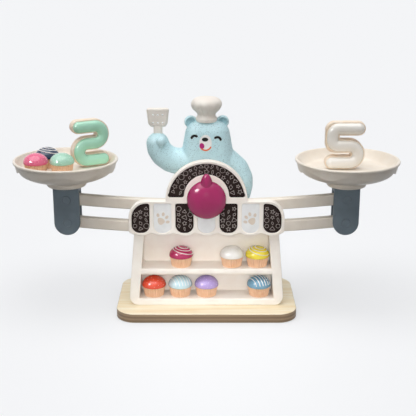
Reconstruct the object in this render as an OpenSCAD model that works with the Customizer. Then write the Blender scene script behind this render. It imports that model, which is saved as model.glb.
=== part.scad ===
// Wooden balance scale toy: a parallel-beam balance in a small bakery stall, with its loose weights.
// Millimetres. +X to the right, +Y away from the viewer, +Z up, origin at the bottom centre.

/* [Base board] */
// Width of the board beside the stand
board_side = 12.5; // [9:0.5:24]
// Depth of the board in front of the stand
board_apron = 22.25; // [20:0.25:28]
// Depth of the board behind the stand
board_rear = 5.75; // [4:0.25:12]
// Thickness of the wooden board
board_t = 10; // [9:0.5:13]
// Radius of the board's corners
board_corner_r = 20; // [8:1:28]

/* [Stand] */
// Width of the stand at the board
stand_w = 161; // [160:0.5:166]
// Lean of the stand's sides from upright, degrees
side_lean = 4.4; // [3.4:0.1:4.6]
// Lean of the display front from upright, degrees
front_lean = 12.4; // [11:0.1:12.4]
// Width of the frame bar beside the bays
frame_bar = 10.4; // [9.8:0.1:10.6]
// Thickness of the moulded walls
wall = 2.4; // [2:0.1:2.6]
// Height of the lower bay's floor above the board
lower_floor_h = 5.3; // [4:0.1:6.5]
// Height of the lip in front of each row
lip_h = 1.6; // [1:0.1:1.7]
// Thickness of the lip
lip_t = 1.7; // [1.4:0.1:2]
// Clear height of the lower bay
lower_bay_h = 26.1; // [26:0.1:27.5]
// Thickness of the shelf between the bays
shelf_t = 4.4; // [3.8:0.1:5]
// Drop of the upper bay's ceiling below the awning's shoulder
ceiling_drop = 32.7; // [31.5:0.1:34]
// Drop of the stand's top below the awning's shoulder
stand_drop = 9.2; // [8.5:0.1:11]
// Depth of the rear housing behind its bearing wall
rear_depth = 27.5; // [27:0.5:30]
// Drop of the rear housing's deck below the awning's shoulder
deck_drop = 22.7; // [22.2:0.1:24.7]

/* [Awning] */
// Distance of the awning's ends inside the stand's foot
awning_inset = 1; // [0:0.1:2]
// Thickness of the awning
awning_t = 9; // [8:0.5:10]
// Gap between the awning's back and the display's front at the flutes' lowest points
awning_gap = 0.578; // [0.3:0.002:1]
// Height of the awning's shoulder above the board
shoulder_h = 110.7; // [110:0.1:112]
// Height of the flutes, from their lowest points to the shoulder
flute_h = 35.3; // [34:0.1:36.5]
// Radius of the arch
arch_r = 41.7; // [41:0.1:43]
// Depth to which the panels are sunk
panel_sink = 0.6; // [0.2:0.1:1]
// Thickness of the panels
panel_t = 1; // [0.6:0.1:1.4]

/* [Balance] */
// Distance from the middle of the beams to the pivots at their ends
arm_len = 146.25; // [144:0.25:152]
// Drop of the upper end pivots below the awning's shoulder
pivot_drop = 6.5; // [6.1:0.1:6.9]
// Distance between the upper and the lower pivots
pivot_gap = 24.7; // [24.2:0.1:25]
// Height of the middle pivots above the end pivots
pivot_rise = 10.5; // [10:0.1:11]
// Distance of the beams behind the origin
beam_y = 5.5; // [5.5:0.1:5.8]
// Height of a beam
beam_h = 12; // [11:0.1:12.4]
// Thickness of a beam
beam_t = 9; // [8:0.1:9.2]
// Dip of a beam below its end pivots
beam_sag = 7.7; // [7:0.1:8]
// Half length of the hump that carries the middle pivot
hump_half = 42; // [38:0.5:44]
// Radius of a beam's hub
hub_r = 8; // [7.5:0.1:8.5]
// Radius of the axles
axle_r = 2.5; // [2:0.1:2.7]
// Radius of the pins at the ends
pin_r = 2; // [1.6:0.1:2.4]

/* [Posts and pans] */
// Width of a post
post_w = 27; // [25:0.5:29]
// Thickness of a post's plate
plate_t = 5; // [4.5:0.1:6]
// Width of a pan that four cupcakes in a row leave free
pan_free = 6.7; // [5.2:0.1:11]
// Height of the rim above the upper end pivot
rim_h = 42.55; // [42:0.05:44]
// Depth of a pan from the rim to the floor
pan_depth = 10.75; // [9.5:0.05:12]
// Radius of the collar under a pan
collar_r = 20.75; // [18:0.25:23]
// Number of waves round the pan's skirt
wave_count = 7; // [5:1:9]

/* [Bear] */
// Distance of the bear's middle behind the origin
bear_y = 27; // [26.6:0.1:27.4]
// Thickness of the bear's walls
bear_wall = 2.2; // [1.8:0.1:2.6]
// Height of the head's seat for the hat above the deck
hat_seat_h = 93.5; // [92.5:0.1:94]
// Radius of the hat's puff
hat_r = 16.3; // [15:0.1:17.5]

/* [Weights] */
// Gap between the cupcakes in a row
place_gap = 2.4; // [2.2:0.1:3.6]
// Height of a cupcake's icing above its cup
dome_h = 10.8; // [10:0.1:11]
// Step from the icing's radius to the cup's radius at its foot
cup_step = 2.6; // [2.4:0.1:3.1]
// Height of a cup
cup_h = 10; // [9.5:0.1:10.2]
// Number of pleats round a cup
pleat_count = 24; // [16:1:28]
// Height of a numeral beside cupcakes of 12.6 mm radius
numeral_tall = 50; // [49:0.5:54]
// Width of a numeral beside cupcakes of 12.6 mm radius
numeral_wide = 41; // [40:0.5:43]
// Width of a numeral's stroke beside cupcakes of 12.6 mm radius
stroke_wide = 14.4; // [13:0.1:14.6]
// Thickness of a numeral's biscuit
biscuit_t = 9; // [8:0.1:11]
// Thickness of the steel slug in the five
five_slug_t = 2.97; // [2:0.01:4]

/* [Fits] */
// Radial clearance of a turning pin in its hole
run_fit = 0.06; // [0.03:0.01:0.1]
// Radial clearance of a fixed pin in its hole
push_fit = 0.02; // [0.01:0.01:0.04]
// Side clearance between flat faces that move
side_fit = 0.5; // [0.3:0.05:0.6]
// Gap between pieces that are seated on each other
seat_gap = 0.1; // [0.05:0.01:0.2]
// Room between a row of cupcakes and the bay's sides
row_room = 0.48; // [0.3:0.01:0.6]
// Gap between a cupcake and the lip in front of it
lip_gap = 4.8; // [4.6:0.1:5.4]

/* [Hidden] */
$fn = 48;
wall_lean = tan(side_lean);
lower_pitch = (stand_w - 2 * frame_bar - 2.2) / 5;
dome_r = (lower_pitch - place_gap) / 2;
cup_r = dome_r - cup_step;
set_k = dome_r / 12.6;
shoulder_z = board_t + shoulder_h;
lower_floor = board_t + lower_floor_h;
lower_ceiling = lower_floor + lower_bay_h;
upper_floor = lower_ceiling + shelf_t;
upper_ceiling = shoulder_z - ceiling_drop;
upper_pitch = (half_w(upper_floor + cup_h + 1.2) - frame_bar - row_room - dome_r) / 2;
stand_top = shoulder_z - stand_drop;
deck_z = shoulder_z - deck_drop;
scallop_z = shoulder_z - flute_h;
pivot_z = shoulder_z - pivot_drop;
axle_z = pivot_z + pivot_rise;
plate_gap = beam_t + 2 * side_fit;
beam_front = beam_y - beam_t / 2;
beam_back = beam_y + beam_t / 2;
washer_t = 0.8;
boss_front = beam_front - washer_t - 2 * seat_gap;
boss_back = beam_back + washer_t + 2 * seat_gap;
bearing_y = boss_back + 1.5;
rear_y = bearing_y + rear_depth;
flange_z = axle_z - pivot_gap - 32;
beam_clear = max(0, min(4.7, upper_floor + 22.2 - flange_z));
row_depth = lip_t + lip_gap + cup_r + dome_r + 0.4;
stand_foot = (upper_floor + lip_h - board_t) * tan(front_lean) + row_depth - beam_front + 0.277 + beam_clear;
awning_back = front_y(scallop_z) - awning_gap;
awning_front = awning_t - awning_back;
awning_half_w = stand_w / 2 - awning_inset;
flute_pitch = (2 * awning_half_w - 2.2) / 7;
board_w = stand_w + 2 * board_side;
board_front = stand_foot + board_apron;
board_d = board_front + rear_y + board_rear;
lower_row_y = front_y(lower_floor + lip_h) + lip_t + lip_gap + cup_r;
upper_row_y = front_y(upper_floor + lip_h) + lip_t + lip_gap + cup_r;
lower_back = lower_row_y + dome_r + 0.4;
upper_back = upper_row_y + dome_r + 0.4;
split_y = upper_back + wall;
rim_z = pivot_z + rim_h;
floor_z = rim_z - pan_depth;
block_z = pivot_z + beam_h / 2 + 2;
collar_z = floor_z - 18.2;
stem_r = 10;
stem_top = floor_z - 6.5;
disc_z = axle_z + 1.1;
disc_r = 0.549 * arch_r;
knob_r = disc_r - 3.15;
knob_k = knob_r / 19.75;
standoff_x = 22;
standoff_z = axle_z + 7.5;
screw_r = 1.5;
front_screw_x = stand_w / 2 - frame_bar / 2 - 0.6;
front_screw_y = -stand_foot + 9;
rear_screw_x = stand_w / 2 - 14;
rear_screw_y = rear_y - wall - 4.2;
bear_front_y = bearing_y + wall + 2.2;
bear_screw_x = 16;
hat_z = deck_z + hat_seat_h;
bear_z = deck_z - 98;
pan_r = 4 * dome_r + pan_free / 2;
numeral_h = numeral_tall * set_k;
numeral_w = numeral_wide * set_k;
stroke_w = stroke_wide * set_k;

// Loose weights in the bays and on the left pan: name, foot position, colour of the icing.
CUPCAKES = [
    ["red", [-2 * lower_pitch, lower_row_y, lower_floor], "#d94a3f"],
    ["sky", [-lower_pitch, lower_row_y, lower_floor], "#bfdfe6"],
    ["lilac", [0, lower_row_y, lower_floor], "#b9a6d8"],
    ["slate", [2 * lower_pitch, lower_row_y, lower_floor], "#6f9ab5"],
    ["rose", [-upper_pitch, upper_row_y, upper_floor], "#c0487a"],
    ["white", [upper_pitch, upper_row_y, upper_floor], "#f4f2ec"],
    ["yellow", [2 * upper_pitch, upper_row_y, upper_floor], "#f2df6a"],
    ["pink", [-arm_len - 27.5 * set_k, beam_y - 19 * set_k, floor_z], "#f08fb0"],
    ["mint", [-arm_len - set_k, beam_y - 18 * set_k, floor_z], "#a9d9c0"],
    ["navy", [-arm_len - 20.5 * set_k, beam_y + 9 * set_k, floor_z], "#39506b"],
];

// Distance of the display's slanted front from the origin at a height.
function front_y(z) = -stand_foot + (z - board_t) * tan(front_lean);

// Half width of the stand at a height.
function half_w(z) = stand_w / 2 - (z - board_t) * wall_lean;

function unit(v) = v / norm(v);

function arc(c, r, a0, a1, n) = [
    for (k = [0:n]) c + r * [cos(a0 + (a1 - a0) * k / n), sin(a0 + (a1 - a0) * k / n)]
];

// An outline with each corner rounded to its own radius; a radius of nought keeps the corner.
function rounded(pts, radii, n = 6) = [
    for (i = [0:len(pts) - 1])
        let (
            b = pts[i],
            u = unit(pts[(i + len(pts) - 1) % len(pts)] - b),
            v = unit(pts[(i + 1) % len(pts)] - b),
            half = acos(u * v) / 2,
            c = b + unit(u + v) * radii[i] / sin(half),
            p = b + u * radii[i] / tan(half) - c,
            turn = (u[0] * v[1] - u[1] * v[0] > 0 ? -1 : 1) * (180 - 2 * half),
            a = atan2(p[1], p[0])
        )
        each radii[i] == 0 ? [b] : arc(c, radii[i], a, a + turn, n)
];

// Middle height of a beam at x, for a beam whose end pivots are at height z.
function beam_mid(x, z) =
    z - beam_sag * (1 - pow(x / arm_len, 2))
    + (abs(x) < hump_half ? (beam_sag + pivot_rise) * pow(cos(90 * x / hump_half), 2) : 0);

function quarter(a, b, n) = [for (k = [0:n]) [a * cos(90 * k / n), b * sin(90 * k / n)]];

module along_y(y0, y1)
    translate([0, y1, 0])
        rotate([90, 0, 0])
            linear_extrude(height = y1 - y0)
                children();

module along_x(w)
    rotate([90, 0, 90])
        linear_extrude(height = w, center = true)
            children();

module rod_y(x, z, r, y0, y1)
    translate([x, y1, z])
        rotate([90, 0, 0])
            cylinder(r = r, h = y1 - y0);

// A screw along +Z from its head at nought.
module screw(r, head_r, head_h, length) {
    cylinder(r = head_r, h = head_h);
    cylinder(r = r, h = length);
}

module rounded_plate(w, d, h, r)
    linear_extrude(height = h) {
        square([w - 2 * r, d], center = true);
        square([w, d - 2 * r], center = true);
        for (sx = [-1, 1], sy = [-1, 1])
            translate([sx * (w / 2 - r), sy * (d / 2 - r)])
                circle(r);
    }

module base_screw_places()
    for (s = [-1, 1]) {
        translate([s * front_screw_x, front_screw_y, 0])
            children();
        translate([s * rear_screw_x, rear_screw_y, 0])
            children();
    }

module base_board()
    color("#e8cfa2")
        difference() {
            translate([0, board_d / 2 - board_front, 0])
                rounded_plate(board_w, board_d, board_t, board_corner_r);
            base_screw_places() {
                translate([0, 0, -1])
                    cylinder(r = 3.6, h = 4.2);
            }
            base_screw_places()
                cylinder(r = screw_r + 0.3, h = board_t + 1);
        }

module base_screws()
    color("#a8a8a8")
        base_screw_places()
            translate([0, 0, 0.8])
                screw(screw_r, 3.3, 2.3, board_t + 9);

// Front view of the stand, sunk in from the sides by an inset.
module stand_outline(z0, z1, inset, r)
    polygon(rounded([
        [-half_w(z0) + inset, z0], [half_w(z0) - inset, z0],
        [half_w(z1) - inset, z1], [-half_w(z1) + inset, z1],
    ], [r, r, 0, 0]));

// Side view of the upper bay.
module upper_bay_profile()
    polygon([
        [front_y(upper_floor + lip_h) + lip_t, upper_floor], [upper_back, upper_floor],
        [upper_back, upper_floor + 14.2], [upper_back - 4.7, upper_floor + 20.2],
        [upper_back - 4.7, upper_ceiling], [-stand_foot - 8, upper_ceiling],
        [-stand_foot - 8, upper_floor + lip_h],
        [front_y(upper_floor + lip_h) + lip_t, upper_floor + lip_h],
    ]);

// Side view of the lower bay; the shelf's lower front edge is rounded off.
module lower_bay_profile() {
    edge = front_y(lower_ceiling);
    lip = front_y(lower_floor + lip_h) + lip_t;
    polygon(concat([
        [lip, lower_floor], [lower_back, lower_floor], [lower_back, lower_ceiling],
    ], arc([edge + 2.6, lower_ceiling + 2.6], 2.6, 270, 186, 6), [
        [-stand_foot - 8, lower_ceiling + 2.4], [-stand_foot - 8, lower_floor + lip_h],
        [lip, lower_floor + lip_h],
    ]));
}

module stand_front_body()
    difference() {
        intersection() {
            along_x(stand_w + 20)
                polygon([
                    [-stand_foot, board_t],
                    [awning_back, board_t + (awning_back + stand_foot) / tan(front_lean)],
                    [awning_back, stand_top], [split_y - 4.4, stand_top],
                    [split_y - 4.4, upper_floor + 21.4], [split_y, upper_floor + 15.6],
                    [split_y, board_t],
                ]);
            along_y(-stand_foot - 1, split_y + 1)
                stand_outline(board_t, stand_top, 0, 9);
        }
        intersection() {
            along_x(stand_w)
                lower_bay_profile();
            along_y(-stand_foot - 9, split_y)
                stand_outline(lower_floor, lower_ceiling + 3, frame_bar, 3);
        }
        intersection() {
            along_x(stand_w)
                upper_bay_profile();
            along_y(-stand_foot - 9, split_y)
                stand_outline(upper_floor, upper_ceiling, frame_bar, 3);
        }
        along_y(lower_back + wall, split_y + 1)
            stand_outline(board_t - 1, upper_floor - wall, wall, 0);
        along_y(awning_back + wall, split_y + 1)
            stand_outline(upper_ceiling + wall, stand_top - wall, wall, 0);
        for (s = [0, 1])
            mirror([s, 0, 0])
                along_y(-stand_foot / 2, split_y + 1)
                    polygon([
                        [half_w(lower_floor) - frame_bar + wall, lower_floor],
                        [half_w(lower_floor) - wall, lower_floor],
                        [half_w(upper_ceiling) - wall, upper_ceiling - 5],
                        [half_w(upper_ceiling) - frame_bar + wall, upper_ceiling - 5],
                    ]);
    }

module tongue(r)
    intersection() {
        translate([0, shoulder_z])
            circle(r);
        translate([-r, stand_top - 2])
            square([2 * r, 2 * r]);
    }

module awning_screw_places()
    for (s = [-1, 1]) {
        translate([s * (awning_half_w - 17), awning_back + wall, scallop_z + 19])
            rotate([90, 0, 0])
                children();
        translate([s * 0.384 * arch_r, awning_back + wall, shoulder_z + 0.48 * arch_r])
            rotate([90, 0, 0])
                children();
    }

module stand_front()
    color("#efe6d6")
        difference() {
            union() {
                stand_front_body();
                along_y(awning_back, awning_back + wall)
                    tongue(arch_r - 7);
                for (z = [axle_z, axle_z - pivot_gap])
                    rod_y(0, z, 6, awning_back, boss_front);
                for (s = [-1, 1])
                    rod_y(s * standoff_x, standoff_z, 4, awning_back, bearing_y);
            }
            for (z = [axle_z, axle_z - pivot_gap])
                rod_y(0, z, axle_r + run_fit, awning_back - 1, boss_front + 1);
            for (s = [-1, 1])
                rod_y(s * standoff_x, standoff_z, screw_r + push_fit, bearing_y - 9, bearing_y + 1);
            awning_screw_places()
                translate([0, 0, -1])
                    cylinder(r = screw_r + push_fit, h = wall + 2);
            for (s = [-1, 1])
                translate([s * front_screw_x, front_screw_y, board_t - 1])
                    cylinder(r = screw_r + push_fit, h = 12);
        }

module stand_rear_body() {
    inner = bearing_y + wall;
    difference() {
        intersection() {
            along_x(stand_w + 20)
                polygon([
                    [split_y + seat_gap, board_t], [rear_y, board_t], [rear_y, deck_z],
                    [bearing_y, deck_z], [bearing_y, flange_z], [split_y + seat_gap, flange_z],
                ]);
            along_y(split_y, rear_y + 1)
                stand_outline(board_t, deck_z, 0, 0);
        }
        along_y(split_y - 1, bearing_y)
            stand_outline(board_t - 1, deck_z, wall, 0);
        along_y(inner, rear_y - wall)
            stand_outline(board_t - 1, deck_z - wall, wall, 0);
    }
    along_y(bearing_y, inner)
        polygon(rounded([
            [-30, deck_z - 1], [30, deck_z - 1], [30, standoff_z + 6], [-30, standoff_z + 6],
        ], [0, 0, 8, 8]));
    for (s = [-1, 1])
        translate([s * rear_screw_x, rear_screw_y, board_t])
            cylinder(r = 4.5, h = 20);
}

module bear_screw_places()
    for (s = [-1, 1], y = [bear_front_y + 4.6, bear_y + 7])
        translate([s * bear_screw_x, y, deck_z - wall])
            children();

module stand_rear()
    color("#efe6d6")
        difference() {
            union() {
                stand_rear_body();
                for (z = [axle_z, axle_z - pivot_gap])
                    rod_y(0, z, 6, boss_back, bearing_y + 1);
            }
            for (z = [axle_z, axle_z - pivot_gap])
                rod_y(0, z, axle_r + run_fit, boss_back - 1, bearing_y + wall + 0.01);
            for (s = [-1, 1]) {
                rod_y(s * standoff_x, standoff_z, screw_r + push_fit, bearing_y - 1, bearing_y + 9);
                translate([s * rear_screw_x, rear_screw_y, board_t - 1])
                    cylinder(r = screw_r + push_fit, h = 12);
            }
            bear_screw_places()
                translate([0, 0, -1])
                    cylinder(r = screw_r + push_fit, h = wall + 2);
        }

module shell_screws()
    color("#a8a8a8")
        for (s = [-1, 1])
            translate([s * standoff_x, bearing_y + wall + 1.7, standoff_z])
                rotate([90, 0, 0])
                    screw(screw_r, 2.8, 1.7, wall + 1.7 + 8);

// Outline of one flute's panel; outer is the side, if any, with the large round corner.
module flute_panel(x, half, outer, grow) {
    z0 = scallop_z + 1.6;
    z1 = shoulder_z - 2.7;
    w = half + grow;
    small = 0.88 * half + grow;
    big = 1.65 * half + grow;
    polygon(rounded([
        [x - w, z0 - grow], [x + w, z0 - grow], [x + w, z1 + grow], [x - w, z1 + grow],
    ], [small, small, outer > 0 ? big : 2 + grow, outer < 0 ? big : 2 + grow], 8));
}

module dark_outlines(grow)
    for (k = [-3, -1, 1, 3])
        flute_panel(k * flute_pitch, flute_pitch / 2 - 2.1, abs(k) == 3 ? sign(k) : 0, grow);

module white_outlines(grow)
    for (k = [-2, 0, 2])
        flute_panel(k * flute_pitch, flute_pitch / 2 - 2.3, 0, grow);

module arch_outline(grow) {
    z = shoulder_z + 4.2;
    outer = arch_r - 2.8 + grow;
    inner = disc_r - grow;
    r = 2.2 + grow;
    difference() {
        intersection() {
            translate([0, shoulder_z])
                circle(outer);
            translate([-50, z + 2.2])
                square([100, 60]);
        }
        translate([0, disc_z])
            circle(inner);
    }
    for (s = [-1, 1])
        translate([s * (outer + inner) / 2, z + 2.2]) {
            for (t = [-1, 1])
                translate([t * ((outer - inner) / 2 - r), 0])
                    circle(r);
            translate([-(outer - inner) / 2 + r, -r])
                square([outer - inner - 2 * r, r]);
        }
}

module awning_outline() {
    r = 0.893 * flute_pitch;
    cusp = scallop_z + 0.2 * r;
    polygon(rounded([
        [-awning_half_w, cusp], [awning_half_w, cusp],
        [awning_half_w, shoulder_z], [-awning_half_w, shoulder_z],
    ], [0, 0, 18, 18], 12));
    for (k = [-3:3])
        intersection() {
            translate([k * flute_pitch, scallop_z + r])
                circle(r);
            translate([max(-awning_half_w, (k - 0.5) * flute_pitch - (k == -3 ? 9 : 0)), scallop_z - 1])
                square([k == -3 || k == 3 ? flute_pitch / 2 + awning_half_w - 3 * flute_pitch
                    : flute_pitch, 0.3 * r]);
        }
    intersection() {
        translate([0, shoulder_z])
            circle(arch_r);
        translate([-arch_r, shoulder_z - 5])
            square([2 * arch_r, arch_r + 6]);
    }
}

module awning()
    color("#f2ece0")
        difference() {
            along_y(-awning_front, awning_back)
                awning_outline();
            along_y(-awning_front - 1, -awning_front + panel_sink + panel_t) {
                dark_outlines(0.15);
                white_outlines(0.15);
                arch_outline(0.15);
            }
            rod_y(0, axle_z, axle_r + 0.6, -awning_front - 1, awning_back + 1);
            awning_screw_places()
                cylinder(r = screw_r + push_fit, h = wall + 6);
        }

module awning_screws()
    color("#a8a8a8")
        awning_screw_places()
            translate([0, 0, -1.8])
                screw(screw_r, 2.8, 1.8, 1.8 + wall + 5.4);

module panel_slab()
    along_y(-awning_front + panel_sink, -awning_front + panel_sink + panel_t)
        children();

module arch_panel()
    color("#4a3d3a")
        panel_slab()
            arch_outline(0);

module dark_panels()
    color("#4a3d3a")
        panel_slab()
            dark_outlines(0);

module white_panels()
    color("#e6e4de")
        panel_slab()
            white_outlines(0);

// A beam whose end pivots are at height z.
module beam(z, end_fit) {
    n = 60;
    xs = [for (k = [0:n]) -arm_len + 2 * arm_len * k / n];
    mid = z + pivot_rise;
    color("#e6dac6")
        difference() {
            along_y(beam_front, beam_back) {
                polygon(concat(
                    [for (x = xs) [x, beam_mid(x, z) - beam_h / 2]],
                    [for (k = [n:-1:0]) [xs[k], beam_mid(xs[k], z) + beam_h / 2]]
                ));
                for (s = [-1, 1])
                    translate([s * arm_len, z])
                        circle(beam_h / 2);
                translate([0, mid])
                    circle(hub_r);
            }
            rod_y(0, mid, axle_r + run_fit, beam_front - 1, beam_back + 1);
            for (s = [-1, 1])
                rod_y(s * arm_len, z, pin_r + end_fit, beam_front - 1, beam_back + 1);
        }
}

module upper_beam()
    beam(pivot_z, run_fit);

module lower_beam()
    beam(pivot_z - pivot_gap, 0.25);

module upper_axle()
    color("#b4b4b4")
        rod_y(0, axle_z, axle_r, -awning_front - 11, bearing_y + wall);

module lower_axle()
    color("#b4b4b4")
        rod_y(0, axle_z - pivot_gap, axle_r, awning_back + 0.5, bearing_y + wall);

module hub_washers()
    color("#dcdcdc")
        for (z = [axle_z, axle_z - pivot_gap], y = [beam_front - seat_gap - washer_t, beam_back + seat_gap])
            difference() {
                rod_y(0, z, 5.5, y, y + washer_t);
                rod_y(0, z, axle_r + 0.2, y - 1, y + washer_t + 1);
            }

module pointer_knob()
    color("#a83266")
        difference() {
            union() {
                translate([0, -awning_front - 0.6, axle_z])
                    rotate([90, 0, 0])
                        rotate_extrude()
                            polygon(knob_k * concat(
                                [[0, 0], [12, 0]],
                                [for (k = [1:7]) [12 + 7.75 * sin(90 * k / 7), 7.6 - 7.6 * cos(90 * k / 7)]],
                                [for (p = quarter(19.75, 11, 10)) if (p[1] > 0) [p[0], p[1] + 7.6]]
                            ));
                translate([0, -awning_front - 0.6 - 10.4 * knob_k, axle_z + 12 * knob_k])
                    rotate([12, 0, 0])
                        rotate_extrude()
                            polygon(knob_k * [
                                [0, 0], [6, 0], [6.6, 4], [5.6, 7], [5, 9], [4.4, 11.4], [3.2, 13.6],
                                [1.8, 15], [0, 15.6],
                            ]);
            }
            rod_y(0, axle_z, axle_r + push_fit, -awning_front - 11.2, -awning_front);
        }

module post_outline(x)
    translate([x, 0]) {
        translate([-post_w / 2, pivot_z - pivot_gap])
            square([post_w, collar_z - seat_gap - pivot_z + pivot_gap]);
        translate([0, pivot_z - pivot_gap])
            circle(post_w / 2);
    }

// One half of a post: the plate, half of the head block and half of the stem.
module post_half(x, y0, y1, plate0, plate1)
    difference() {
        union() {
            along_y(plate0, plate1)
                post_outline(x);
            translate([x - post_w / 2, y0, block_z])
                cube([post_w, y1 - y0, collar_z - seat_gap - block_z]);
            intersection() {
                translate([x, beam_y, block_z])
                    cylinder(r = stem_r, h = stem_top - block_z);
                translate([x - 20, y0, block_z])
                    cube([40, y1 - y0, 60]);
            }
        }
        for (z = [pivot_z, pivot_z - pivot_gap])
            rod_y(x, z, pin_r + push_fit, beam_y - plate_gap / 2 - 3, beam_y + plate_gap / 2 + 3);
        for (s = [-1, 1])
            rod_y(x + s * 8.5, (block_z + collar_z) / 2, screw_r + push_fit,
                beam_y - plate_gap / 2 - 1, beam_y + 30);
    }

module post_front(x)
    color("#66727a") {
        post_half(x, beam_y - plate_gap / 2 - plate_t, beam_y,
            beam_y - plate_gap / 2 - plate_t, beam_y - plate_gap / 2);
        for (z = [pivot_z, pivot_z - pivot_gap])
            rod_y(x, z, 4.2, beam_y - plate_gap / 2 - plate_t - 0.6, beam_y - plate_gap / 2 - plate_t + 0.5);
    }

module post_rear(x)
    color("#66727a")
        post_half(x, beam_y + 0.04, beam_y + plate_gap / 2 + plate_t,
            beam_y + plate_gap / 2, beam_y + plate_gap / 2 + plate_t);

module post_pins(x)
    color("#b4b4b4")
        for (z = [pivot_z, pivot_z - pivot_gap])
            rod_y(x, z, pin_r, beam_y - plate_gap / 2 - 2.9, beam_y + plate_gap / 2 + 2.9);

module post_screws(x)
    color("#a8a8a8")
        for (s = [-1, 1])
            translate([x + s * 8.5, beam_y + plate_gap / 2 + plate_t + 1.6, (block_z + collar_z) / 2])
                rotate([90, 0, 0])
                    screw(screw_r, 2.6, 1.6, 1.6 + plate_gap + plate_t);

module pan_dish(x) {
    r = pan_r;
    d = pan_depth;
    color("#efe6d6")
        translate([x, beam_y, floor_z])
            difference() {
                rotate_extrude($fn = 96)
                    polygon([
                        [0, -2], [r - 8.2, -2], [r - 4.2, d - 7], [r - 4.2, d - 5.4],
                        [r - 1.7, d - 5.4], [r - 1.7, -1.6], [r - 0.5, -1.6], [r - 0.5, d - 3.4],
                        [r, d - 2.8], [r, d - 0.7], [r - 0.6, d], [r - 1.9, d], [r - 2.5, d - 0.6],
                        [r - 4.6, d - 4.4], [r - 9.2, 0.6], [r - 10.6, 0], [0, 0],
                    ]);
                for (k = [0:wave_count - 1])
                    rotate([0, 0, -90 + 360 * k / wave_count])
                        intersection() {
                            difference() {
                                translate([0, 0, -3])
                                    cylinder(r = r + 2, h = 9);
                                translate([0, 0, -4])
                                    cylinder(r = r - 1.75, h = 11);
                            }
                            translate([r - 8, 0, 3.3 - 36])
                                rotate([0, 90, 0])
                                    cylinder(r = 36, h = 11);
                        }
            }
}

module pan_bowl(x) {
    r = pan_r - 1.8;
    top = pan_depth - 5.7;
    c = collar_r;
    low = collar_z - floor_z;
    color("#e9dfcc")
        translate([x, beam_y, floor_z])
            rotate_extrude($fn = 96)
                polygon([
                    [stem_r + 0.1, low], [c - 1.6, low], [c - 0.4, low + 0.5], [c, low + 1.6],
                    [c, -10.6], [r - 21, -9.7], [r - 14.6, -8.4], [r - 9.4, -6.8], [r - 4.6, -4.9],
                    [r - 1.2, -2.8], [r, -0.8], [r, top], [r - 2, top], [r - 2, 0.3], [r - 3, -1.1],
                    [r - 6, -2.7], [r - 10.4, -4.4], [r - 15.4, -6], [r - 21.4, -7.4],
                    [stem_r + 2.6, -8.2], [stem_r + 2.6, -6.5], [stem_r + 0.1, -6.5],
                ]);
}

// The bear's outer form, or the same form sunk in by an inset for the hollow inside.
module bear_form(i) {
    y = bear_y;
    hull()
        for (s = [-1, 1]) {
            translate([1 + s * 8.5, y - 0.5, 178 + bear_z])
                sphere(15.2 - i, $fn = 32);
            translate([1 + s * 10.5, y - 0.5, 161 + bear_z])
                sphere(16.3 - i, $fn = 32);
        }
    hull()
        for (s = [-1, 1]) {
            translate([s * 12, y, 152 + bear_z])
                sphere(15 - i, $fn = 32);
            translate([s * 17, y, 120 + bear_z])
                sphere(15.6 - i, $fn = 32);
            translate([s * 17, y, 96 + bear_z])
                sphere(15.6 - i, $fn = 32);
        }
    hull() {
        translate([-20, y, 150.5 + bear_z])
            sphere(14.6 - i, $fn = 28);
        translate([-45.5, y - 1, 156 + bear_z])
            sphere(14 - i, $fn = 28);
    }
    hull() {
        translate([-45.5, y - 1, 156 + bear_z])
            sphere(14 - i, $fn = 28);
        translate([-51.4, y - 1, 167.8 + bear_z])
            sphere(12.2 - i, $fn = 28);
    }
    hull() {
        translate([24, y, 149 + bear_z])
            sphere(12.4 - i, $fn = 28);
        translate([37.8, y, 131.5 + bear_z])
            sphere(12.4 - i, $fn = 28);
    }
    hull() {
        translate([37.8, y, 131.5 + bear_z])
            sphere(12.4 - i, $fn = 28);
        translate([35.4, y, 114 + bear_z])
            sphere(10.2 - i, $fn = 28);
    }
}

module bear_trim() {
    y = bear_y;
    for (x = [-16.2, 17.4])
        translate([x, y, 191.2 + bear_z])
            sphere(6.4, $fn = 24);
    hull() {
        translate([-47.2, y - 12.6, 172 + bear_z])
            sphere(4.6, $fn = 20);
        translate([-46.4, y - 11.4, 164.5 + bear_z])
            sphere(3.4, $fn = 20);
    }
}

module bear_half(y0, y1)
    difference() {
        intersection() {
            union() {
                difference() {
                    union() {
                        bear_form(0);
                        bear_trim();
                    }
                    difference() {
                        bear_form(bear_wall);
                        translate([-80, 0, 0])
                            cube([160, 80, deck_z + 3.2]);
                    }
                }
                bear_screw_places()
                    cylinder(r = 4, h = wall + 15, $fn = 24);
            }
            translate([-80, y0, deck_z + seat_gap])
                cube([160, y1 - y0, 140]);
        }
        translate([-80, -10, 0])
            cube([160, 10 + bear_front_y, axle_z + 17]);
        translate([0, bear_y, hat_z])
            cylinder(r = 13, h = 20, $fn = 40);
        translate([0, bear_y, hat_z - 6])
            cylinder(r = 3.3, h = 20, $fn = 24);
        translate([-51, bear_y - 1, 165 + bear_z])
            cylinder(r = 3.8, h = 30, $fn = 24);
        bear_screw_places()
            cylinder(r = screw_r + 0.15, h = wall + 11, $fn = 24);
    }

module bear_front()
    color("#b7d6da")
        bear_half(0, bear_y);

module bear_rear()
    color("#b7d6da")
        bear_half(bear_y + 0.04, bear_y + 40);

module bear_screws()
    color("#a8a8a8")
        bear_screw_places()
            translate([0, 0, -1.8])
                screw(screw_r, 2.8, 1.8, wall + 10);

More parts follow.
